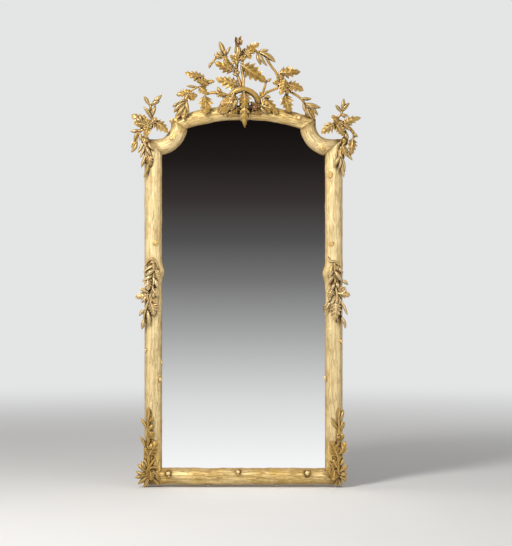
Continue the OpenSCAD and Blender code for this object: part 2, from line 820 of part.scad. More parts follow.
CREST_BUDS = [
  // left block
  [-228, 157, 82, -284, 162, 90, 6], [-120, 120, 84, -134, 112, 96, 6],
  [-238, 198, 86, -248, 188, 88, 5], [-284, 92, 84, -326, 78, 88, 6],
  [-322, 80, 88, -352, 58, 84, 6], [-280, 96, 82, -267, 46, 88, 7],
  [-288, 84, 84, -345, 30, 90, 10], [-286, 74, 86, -336, 8, 90, 9],
  [-286, 68, 86, -309, 10, 92, 9], [-282, 60, 84, -292, 16, 90, 8],
  // top block
  [-88, 316, 82, -120, 385, 84, 11], [-96, 313, 82, -134, 331, 88, 7],
  [-98, 308, 82, -146, 319, 86, 7], [-152, 280, 82, -171, 250, 84, 7],
  [-90, 312, 82, -93, 342, 90, 6], [-87, 312, 82, -62, 360, 80, 6],
  [-33, 370, 80, -51, 411, 82, 6], [-33, 374, 80, -20, 410, 86, 8],
  [-28, 386, 80, -4, 374, 88, 7], [-40, 296, 84, -54, 266, 90, 6],
  [-33, 296, 86, -33, 262, 92, 6], [72, 336, 82, 126, 350, 86, 7],
  [76, 330, 84, 158, 280, 90, 12], [68, 328, 82, 86, 266, 88, 9],
  [74, 328, 84, 118, 260, 92, 8], [76, 330, 84, 102, 276, 96, 9],
  [-36, 230, 84, -54, 222, 94, 8], [-36, 230, 84, -44, 246, 94, 8], [-36, 230, 84, -26, 246, 94, 8],
  [-36, 230, 84, -17, 232, 94, 8], [-36, 230, 84, -28, 214, 94, 8], [-36, 230, 84, -46, 214, 94, 8],
  [111, 182, 92, 139, 200, 92, 6],
  // right block
  [286, 101, 84, 338, 99, 88, 8], [304, 76, 84, 383, 54, 88, 10],
  [306, 70, 86, 358, 40, 92, 7], [304, 68, 86, 333, 12, 92, 8],
  [296, 84, 84, 312, 24, 90, 7], [332, 56, 86, 370, 16, 88, 7],
  // loop block
  [-108, 124, 84, -128, 162, 88, 9], [-78, 38, 88, -75, 78, 98, 9],
  [-54, 38, 88, -58, 84, 98, 9], [-8, 46, 90, -14, -2, 98, 9],
  [14, 48, 90, 20, 2, 98, 8], [88, 96, 80, 82, 146, 86, 6],
  [100, 118, 82, 133, 114, 88, 7], [52, 44, 78, 60, 78, 90, 9], [30, 62, 78, 42, 60, 92, 8]
];
CREST_STEMS = [
  // left block and its branch
  [11, 6, [[-58, 106, 84], [-108, 124, 84], [-153, 130, 84], [-190, 122, 80]]],
  [6, 5, [[-190, 124, 80], [-192, 152, 80], [-196, 182, 82], [-200, 220, 82]]],
  [5, 5, [[-194, 160, 80], [-230, 156, 82], [-264, 136, 84]]],
  [5, 5, [[-200, 196, 82], [-238, 198, 86]]],
  [8, 8, [[-276, 126, 82], [-283, 96, 82], [-284, 74, 80], [-296, 44, 76]]],
  [6, 6, [[-190, 110, 78], [-190, 44, 68]]],
  // loop block
  [16, 15, [
    [-72, 66, 70], [-66, 104, 86], [-40, 136, 92], [-3, 144, 94], [34, 134, 92], [62, 110, 86], [76, 74, 70]
  ]],
  [7, 6, [[70, 96, 84], [97, 116, 84], [114, 131, 84], [164, 151, 84], [200, 172, 84]]],
  [6, 5, [[92, 118, 84], [107, 164, 88], [112, 190, 92]]],
  // top block
  [8, 7, [[-3, 150, 90], [0, 201, 84], [-8, 251, 82], [-4, 288, 80], [14, 318, 80]]],
  [7, 6, [[-12, 150, 88], [-17, 182, 84], [-37, 230, 80], [-50, 256, 80], [-74, 284, 80], [-90, 314, 82]]],
  [8, 7, [[-37, 230, 80], [-33, 266, 80], [-33, 304, 84], [-38, 340, 82], [-33, 374, 80]]],
  [7, 5, [[-94, 306, 82], [-122, 304, 80], [-140, 298, 80], [-156, 276, 82]]],
  [6, 6, [[40, 340, 88], [76, 330, 84]]],
  [6, 6, [[112, 302, 87], [140, 258, 82], [160, 232, 82], [170, 202, 82], [186, 182, 82]]],
  // right block
  [7, 6, [[181, 236, 80], [181, 206, 82], [196, 176, 82], [210, 152, 82], [214, 130, 84]]],
  [6, 6, [[216, 146, 82], [240, 130, 82], [272, 111, 82], [292, 92, 82], [310, 62, 80], [318, 40, 70]]],
  [7, 7, [[214, 132, 82], [218, 104, 78], [224, 60, 70]]]
];
CREST_PADS = [
  [-72, 48, 66, 56, 36, 24], [-68, 14, 80, 14, 11, 9], [70, 50, 64, 46, 32, 24], [4, 76, 84, 24, 46, 22],
  [-188, 50, 66, 18, 22, 20], [224, 46, 66, 20, 24, 20], [-304, 26, 66, 26, 28, 24],
  [318, 32, 66, 22, 26, 22], [198, 172, 80, 20, 24, 12], [-196, 178, 80, 14, 26, 10],
  [-276, 126, 80, 22, 20, 10]
];

// The joints that divide the crest into its four blocks
left_joint_x = -137;
left_joint_y = 248;
left_step_x = -185;
left_step_y = 276;
right_joint_x = 141;
right_joint_y = 205;
right_foot_x = 182;
right_foot_y = 118;
right_top_x = 172;
mid_joint_y = 163;
crest_far = 900;

module crest_left_zone() {
  translate([-crest_far, -crest_far]) square([crest_far + left_joint_x, crest_far + left_joint_y]);
  translate([-crest_far, -crest_far]) square([crest_far + left_step_x, crest_far + left_step_y]);
}

module crest_right_zone() {
  translate([right_joint_x, right_foot_y]) square([crest_far, right_joint_y - right_foot_y]);
  translate([right_foot_x, -crest_far]) square([crest_far, crest_far + right_joint_y]);
  translate([right_top_x, right_joint_y - 1]) square([crest_far, crest_far]);
}

module crest_loop_zone() {
  difference() {
    translate([left_joint_x, -crest_far]) square([crest_far, crest_far + mid_joint_y]);
    crest_right_zone();
  }
}

module crest_top_zone() {
  difference() {
    square(2 * crest_far, center = true);
    crest_left_zone();
    crest_right_zone();
    crest_loop_zone();
  }
}

// One block of the crest: its zone, which the caller draws, cuts it from the whole
module crest_block() {
  color(GILT) stand() difference() {
    place(crest_at, 1) intersection() {
      carving(CREST_LEAVES, CREST_BUDS, CREST_STEMS, CREST_PADS);
      linear_extrude(2 * trunk_front) offset(delta = -joint_gap / 2) scale(carve) children();
    }
    trunk_bed();
  }
}

module crest_left() { crest_block() crest_left_zone(); }
module crest_right() { crest_block() crest_right_zone(); }
module crest_loop() { crest_block() crest_loop_zone(); }
module crest_top() { crest_block() crest_top_zone(); }

// Corner sprays, from the centre of the shoulder's circle
CORNER_LEFT_LEAVES = [
  [-50, -4, 76, -122, 52, 88, 72, 12], [-40, -12, 80, -62, 44, 92, 40, -8],
  [-30, 12, 74, 62, -24, 88, 84, -12], [-44, -8, 82, -54, -72, 92, 46, 10],
  [-52, 0, 78, -108, 12, 90, 44, -10], [-48, -148, 82, -34, -202, 90, 36, 8],
  [-34, 4, 84, 4, 44, 94, 40, 8]
];
CORNER_LEFT_BUDS = [
  [-40, 104, 82, -64, 138, 86, 6], [-22, 104, 80, 26, 148, 84, 7], [-26, 98, 82, 17, 120, 88, 6],
  [-34, 84, 80, -67, 92, 86, 6], [-34, 80, 80, -5, 100, 86, 6], [-94, -30, 80, -132, -24, 84, 7],
  [-88, -42, 80, -115, -76, 84, 7], [-78, -62, 80, -90, -106, 84, 7], [-68, -80, 82, -127, -126, 86, 7],
  [-64, -90, 82, -92, -141, 88, 8], [-58, -112, 82, -82, -166, 88, 7], [-50, -138, 82, -77, -213, 86, 8],
  [-38, -178, 82, -65, -262, 86, 8], [-50, -122, 84, -22, -158, 90, 7], [-80, 8, 84, -104, 30, 94, 8],
  [-72, 14, 84, -80, 44, 94, 8], [-84, 4, 84, -116, 6, 94, 8]
];
CORNER_LEFT_STEMS = [
  [8, 5, [[-36, -8, 78], [-24, 20, 78], [-30, 52, 78], [-30, 82, 80], [-24, 102, 80]]],
  [5, 5, [[-30, 86, 80], [-42, 106, 82]]],
  [8, 7, [
    [-44, -6, 78], [-76, -28, 76], [-94, -32, 78], [-82, -56, 78], [-64, -86, 80], [-49, -130, 82],
    [-34, -206, 80]
  ]]
];
CORNER_LEFT_PADS = [[-52, -6, 74, 34, 26, 14], [-46, -140, 72, 18, 60, 16], [-58, -78, 66, 20, 26, 22]];

CORNER_RIGHT_LEAVES = [
  [30, 2, 78, -48, -18, 90, 84, 12], [62, -2, 76, 154, 36, 88, 52, -12], [28, 2, 82, 68, -56, 92, 50, 10],
  [116, -62, 78, 102, -156, 92, 48, -8], [40, 4, 84, 10, 44, 92, 40, 8], [26, -2, 84, -22, 26, 92, 42, 6]
];
CORNER_RIGHT_BUDS = [
  [56, 62, 82, 25, 98, 86, 6], [60, 70, 80, 68, 128, 84, 7], [62, 66, 80, 96, 106, 84, 7],
  [54, 52, 82, 88, 47, 86, 6], [114, -42, 80, 137, -62, 84, 7], [76, -40, 82, 90, -74, 90, 8],
  [60, -120, 80, 106, -180, 84, 8], [50, -150, 82, 16, -212, 86, 8], [50, -160, 84, 42, -224, 88, 8],
  [54, -158, 82, 74, -232, 86, 8], [50, -178, 82, 68, -262, 86, 8]
];
CORNER_RIGHT_STEMS = [
  [7, 5, [[30, 6, 78], [40, 34, 78], [54, 52, 80], [62, 72, 80]]],
  [8, 7, [[34, -2, 76], [66, -2, 76], [98, -18, 78], [118, -46, 78], [117, -66, 78]]],
  [8, 7, [[40, -6, 78], [78, -42, 78], [74, -84, 78], [56, -122, 80], [50, -184, 80]]]
];
CORNER_RIGHT_PADS = [[44, 0, 74, 32, 24, 14], [54, -152, 72, 18, 46, 16], [72, -80, 66, 18, 24, 22]];

module corner_spray_left() {
  color(GILT) stand() difference() {
    place(corner_at, -1)
      carving(CORNER_LEFT_LEAVES, CORNER_LEFT_BUDS, CORNER_LEFT_STEMS, CORNER_LEFT_PADS);
    trunk_bed();
  }
}

module corner_spray_right() {
  color(GILT) stand() difference() {
    place(corner_at, 1)
      carving(CORNER_RIGHT_LEAVES, CORNER_RIGHT_BUDS, CORNER_RIGHT_STEMS, CORNER_RIGHT_PADS);
    trunk_bed();
  }
}

// Side sprays, from the middle of each side
SIDE_LEFT_LEAVES = [
  [-10, -6, 82, -86, -16, 86, 60, 12], [-16, -36, 84, 2, -108, 94, 46, 8],
  [14, -48, 78, 33, -102, 84, 32, -10], [10, 118, 80, 32, 66, 84, 30, 8],
  [-22, 76, 82, -14, 12, 92, 46, -8], [-20, 10, 82, -60, 30, 84, 30, -10]
];
SIDE_LEFT_BUDS = [
  [12, 146, 82, -46, 108, 82, 9], [8, 122, 84, -36, 88, 86, 9], [2, 100, 84, -56, 62, 80, 8],
  [2, 84, 84, 2, 42, 92, 8], [14, 74, 84, 24, 32, 86, 8], [-22, -18, 80, -60, -44, 78, 5],
  [-38, -78, 76, -68, -110, 76, 7], [-42, -118, 74, -55, -176, 74, 9], [-26, -80, 82, -14, -156, 88, 8],
  [16, 10, 84, 4, -20, 92, 8]
];
SIDE_LEFT_STEMS = [
  [5, 5, [[-36, 144, 72], [-22, 166, 78], [-2, 174, 82], [18, 156, 80], [26, 124, 76], [30, 84, 74]]],
  [7, 7, [[-8, 4, 82], [-22, -34, 80], [-36, -80, 76], [-44, -126, 72]]],
  [7, 6, [[4, 150, 80], [4, 90, 82], [0, 30, 82], [-8, -20, 82], [-12, -70, 84]]]
];
SIDE_LEFT_PADS = [[-4, 84, 74, 34, 76, 12], [-4, -44, 74, 32, 74, 12]];

SIDE_RIGHT_LEAVES = [
  [8, 4, 82, 84, -12, 86, 62, 12], [8, -40, 84, -2, -132, 94, 44, 8], [-20, -44, 78, -48, -90, 78, 30, -8],
  [-18, 134, 80, -20, 78, 90, 28, 8], [14, 34, 84, 54, 26, 84, 28, -8]
];
SIDE_RIGHT_BUDS = [
  [-8, 144, 82, -16, 80, 88, 9], [2, 116, 84, 40, 62, 84, 9], [34, 70, 80, 69, 44, 76, 7],
  [0, 92, 84, -24, 48, 84, 9], [4, 54, 84, -18, 22, 88, 7], [12, 60, 84, 24, 28, 90, 8],
  [24, 132, 78, 46, 104, 74, 8], [34, -34, 78, 66, -104, 76, 7], [34, -112, 78, 56, -172, 76, 8],
  [4, -102, 82, 20, -142, 86, 6], [-10, 4, 84, -22, -34, 88, 8]
];
SIDE_RIGHT_STEMS = [
  [4, 5, [[-34, 184, 70], [-18, 162, 80], [2, 160, 82], [24, 144, 78]]],
  [7, 7, [[2, 154, 80], [2, 90, 82], [8, 40, 82], [14, -14, 82], [8, -60, 84]]],
  [6, 6, [[16, -4, 80], [30, -34, 76], [34, -78, 74], [36, -124, 72]]]
];
SIDE_RIGHT_PADS = [[4, 84, 74, 34, 76, 12], [4, -44, 74, 32, 84, 12]];

module side_spray_left() {
  color(GILT) stand() difference() {
    place(side_at, -1) carving(SIDE_LEFT_LEAVES, SIDE_LEFT_BUDS, SIDE_LEFT_STEMS, SIDE_LEFT_PADS);
    trunk_bed();
  }
}

module side_spray_right() {
  color(GILT) stand() difference() {
    place(side_at, 1) carving(SIDE_RIGHT_LEAVES, SIDE_RIGHT_BUDS, SIDE_RIGHT_STEMS, SIDE_RIGHT_PADS);
    trunk_bed();
  }
}

// Foot sprays, from the lower corners of the opening
FOOT_LEFT_LEAVES = [
  [-50, 54, 82, -14, 140, 90, 48, 8], [-60, 178, 80, -36, 146, 88, 30, -8],
  [-36, -8, 78, -8, -54, 84, 36, 8], [-62, 60, 82, -84, 104, 84, 34, -10],
  [-56, -14, 84, -48, -60, 96, 46, 8], [-64, 128, 80, -40, 176, 86, 28, 8]
];
FOOT_LEFT_BUDS = [
  [-66, 240, 76, -66, 304, 80, 14], [-68, 194, 75, -102, 253, 72, 7], [-62, 190, 76, -36, 224, 80, 8],
  [-78, 96, 72, -107, 164, 70, 7], [-52, 92, 82, -44, 128, 90, 9], [-76, -4, 76, -97, 38, 78, 8],
  [-74, -12, 76, -120, 26, 80, 9], [-74, -20, 78, -129, -10, 82, 9], [-72, -28, 78, -132, -42, 82, 10],
  [-70, -36, 78, -118, -74, 80, 9], [-64, -42, 78, -90, -90, 80, 9], [-52, -40, 85, -10, -82, 76, 7]
];
FOOT_LEFT_STEMS = [
  [10, 9, [[-66, 246, 74], [-66, 188, 76], [-64, 112, 78], [-64, 40, 80], [-66, -26, 80]]],
  [6, 6, [[-32, 54, 84], [-56, 20, 86], [-78, -10, 84]]],
  [6, 6, [[-76, -16, 86], [-52, 8, 86], [-22, 8, 80]]]
];
FOOT_LEFT_PADS = [[-60, 60, 70, 28, 100, 16], [-58, -24, 70, 36, 34, 18]];

FOOT_RIGHT_LEAVES = [
  [46, 56, 82, 21, 134, 90, 52, 8], [66, 76, 78, 98, 128, 80, 44, -10], [70, 140, 76, 84, 178, 80, 34, 8],
  [60, 10, 82, 36, 46, 90, 34, -8], [26, -42, 76, 5, 14, 82, 28, 8], [72, -14, 80, 108, 24, 84, 36, -10],
  [44, -14, 84, 36, -58, 96, 42, 8]
];
FOOT_RIGHT_BUDS = [
  [66, 246, 76, 66, 304, 80, 12], [72, 232, 74, 91, 296, 72, 7], [64, 200, 76, 26, 254, 76, 7],
  [70, 196, 76, 84, 242, 78, 7], [76, 188, 74, 96, 234, 74, 7], [60, 150, 84, 74, 166, 92, 9],
  [68, 18, 78, 91, 54, 80, 8], [72, -24, 78, 110, -28, 82, 11], [70, -34, 78, 105, -62, 82, 10],
  [58, -44, 78, 50, -86, 80, 7], [64, -48, 78, 80, -84, 80, 8], [24, 30, 80, 42, -4, 86, 7]
];
FOOT_RIGHT_STEMS = [
  [9, 9, [[66, 250, 74], [68, 188, 76], [62, 112, 78], [62, 40, 80], [66, -30, 80]]],
  [6, 6, [[66, 176, 80], [58, 160, 84], [66, 146, 86], [78, 158, 82]]],
  [6, 6, [[60, 30, 84], [36, 24, 84], [20, 34, 80]]]
];
FOOT_RIGHT_PADS = [[58, 60, 70, 28, 100, 16], [54, -24, 70, 36, 34, 18]];

module foot_spray_left() {
  color(GILT) stand() difference() {
    place(foot_at, -1) carving(FOOT_LEFT_LEAVES, FOOT_LEFT_BUDS, FOOT_LEFT_STEMS, FOOT_LEFT_PADS);
    trunk_bed();
  }
}

module foot_spray_right() {
  color(GILT) stand() difference() {
    place(foot_at, 1) carving(FOOT_RIGHT_LEAVES, FOOT_RIGHT_BUDS, FOOT_RIGHT_STEMS, FOOT_RIGHT_PADS);
    trunk_bed();
  }
}

carcass_bottom_rail();
carcass_side(-1);  // carcass_left_stile
carcass_side(1);  // carcass_right_stile
carcass_shoulder(-1);  // carcass_left_shoulder
carcass_shoulder(1);  // carcass_right_shoulder
carcass_top_rail();
corner_pegs();
loose_tongues();
trunk_bottom();
trunk_side(-1, LEFT_KNOTS);  // trunk_left
trunk_side(1, RIGHT_KNOTS);  // trunk_right
trunk_shoulder(-1, LEFT_BURR);  // trunk_left_shoulder
trunk_shoulder(1, RIGHT_BURR);  // trunk_right_shoulder
trunk_arch();
facing_screws();
mirror_plate();
glue_blocks();
backboard(1);  // backboard_1
backboard(2);  // backboard_2
backboard(3);  // backboard_3
backboard(4);  // backboard_4
backboard(5);  // backboard_5
backboard(6);  // backboard_6
backboard(7);  // backboard_7
backboard(8);  // backboard_8
backboard(9);  // backboard_9
backboard_screws();
hanger_strap(-1);  // hanger_strap_left
hanger_strap(1);  // hanger_strap_right
hanger_ring(-1);  // hanger_ring_left
hanger_ring(1);  // hanger_ring_right
hanger_screws();
crest_left();
crest_right();
crest_loop();
crest_top();
corner_spray_left();
corner_spray_right();
side_spray_left();
side_spray_right();
foot_spray_left();
foot_spray_right();
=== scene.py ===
"""The looks of a giltwood mirror: a carved tree trunk frame with leafy sprays, round a silvered plate."""

import math

import bpy
import numpy as np
from bpy.props import FloatProperty, FloatVectorProperty, IntProperty, PointerProperty
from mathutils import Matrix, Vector, noise
from mathutils.bvhtree import BVHTree


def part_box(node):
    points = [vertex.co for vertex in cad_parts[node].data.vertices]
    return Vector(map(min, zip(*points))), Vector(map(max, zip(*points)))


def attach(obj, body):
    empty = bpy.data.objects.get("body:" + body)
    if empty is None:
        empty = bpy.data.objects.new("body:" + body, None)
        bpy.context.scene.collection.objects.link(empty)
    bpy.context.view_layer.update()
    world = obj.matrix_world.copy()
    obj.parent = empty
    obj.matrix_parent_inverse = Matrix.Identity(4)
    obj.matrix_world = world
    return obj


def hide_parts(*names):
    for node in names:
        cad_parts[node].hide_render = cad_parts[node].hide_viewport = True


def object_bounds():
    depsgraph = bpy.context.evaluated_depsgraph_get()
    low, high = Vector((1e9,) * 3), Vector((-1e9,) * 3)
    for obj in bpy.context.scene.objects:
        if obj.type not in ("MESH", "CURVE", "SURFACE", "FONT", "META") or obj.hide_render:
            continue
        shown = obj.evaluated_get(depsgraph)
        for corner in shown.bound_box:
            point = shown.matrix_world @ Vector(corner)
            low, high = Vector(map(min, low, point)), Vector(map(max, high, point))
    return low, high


bl_info = {
    "name": "Giltwood Mirror",
    "version": (1, 0, 0),
    "blender": (4, 5, 0),
    "location": "View3D > Sidebar > Mirror",
    "description": "Dresses a carved and gilded mirror frame, its plate and its back",
    "category": "Object",
}

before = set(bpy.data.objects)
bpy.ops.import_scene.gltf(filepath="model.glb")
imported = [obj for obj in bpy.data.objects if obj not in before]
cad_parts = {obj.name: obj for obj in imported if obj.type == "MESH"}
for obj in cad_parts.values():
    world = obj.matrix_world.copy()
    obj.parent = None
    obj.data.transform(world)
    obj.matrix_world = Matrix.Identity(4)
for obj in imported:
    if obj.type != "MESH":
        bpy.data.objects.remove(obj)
CAD_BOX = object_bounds()
MM = 0.001
FRAME_BODY = "frame"

# Driving sizes in millimetres, from the frame where it gives them
GLASS_LAP = 8
PLATE_LOW, PLATE_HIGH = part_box("mirror_plate")
SIGHT_HALF_W = PLATE_HIGH.x / MM - GLASS_LAP
SIGHT_HALF_H = PLATE_HIGH.z / MM - GLASS_LAP
STILE_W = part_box("trunk_right")[1].x / MM - SIGHT_HALF_W
RAIL_H = 80
ARCH_W = 72
SHOULDER_W = 77
SHOULDER_R = 108.5
ARCH_R = 903
TRUNK_FRONT = 80
TRUNK_BACK = -PLATE_LOW.y / MM
NOTCH_OUT = 23
NOTCH_DROP = 28.5

STILE_X = SIGHT_HALF_W + STILE_W / 2
RAIL_Y = -SIGHT_HALF_H - RAIL_H / 2
ARCH_Y = SIGHT_HALF_H - ARCH_R
# The middle of the shoulders' quarter turn, and the radii of its two edges
RING = np.array([SIGHT_HALF_W + NOTCH_OUT, SIGHT_HALF_H - NOTCH_DROP])
RING_IN = SHOULDER_R + SHOULDER_W / 2
RING_OUT = SHOULDER_R - SHOULDER_W / 2

# Where the carvings are placed from, across and up
CREST_AT = (0, SIGHT_HALF_H)
CORNER_AT = (RING[0], RING[1])
SIDE_AT = (STILE_X, 0)
FOOT_AT = (SIGHT_HALF_W, -SIGHT_HALF_H)

# A ball is a cut stub, a burr is a swirl grown over a cut, and a boss is a plain swelling
BALL, BURR, BOSS = 0, 1, 2
# Knots of each length of trunk: across and up, radius, kind
KNOTS = {
    "left": [[-16, 254, 11, BURR], [34, -280, 10, BALL], [-40, -340, 8, BALL], [-33, -424, 12, BALL],
             [-44, 112, 22, BOSS]],
    "right": [[-14, 250, 12, BURR], [35, -235, 11, BALL], [-40, -420, 13, BALL], [-44, 104, 23, BOSS],
              [-20, 590, 14, BURR]],
    "bottom": [[-373, 17, 12, BALL], [-26, 24, 10, BALL], [316, 18, 12, BALL], [-176, -38, 9, BALL],
               [165, -38, 9, BALL]],
    "arch": [[272, 10, 12, BALL], [-346, 26, 10, BALL]],
    "left_shoulder": [[2, 20, 21, BURR]],
    "right_shoulder": [[38, -40, 19, BURR]],
}

# The carvings, in millimetres across, up and out from the wall, from each one's own place.
# A leaf is base, tip, width and roll; a bud is base, tip and radius; a stem is its radius at the
# start, at the end, and its points; a pad is its middle and half sizes.

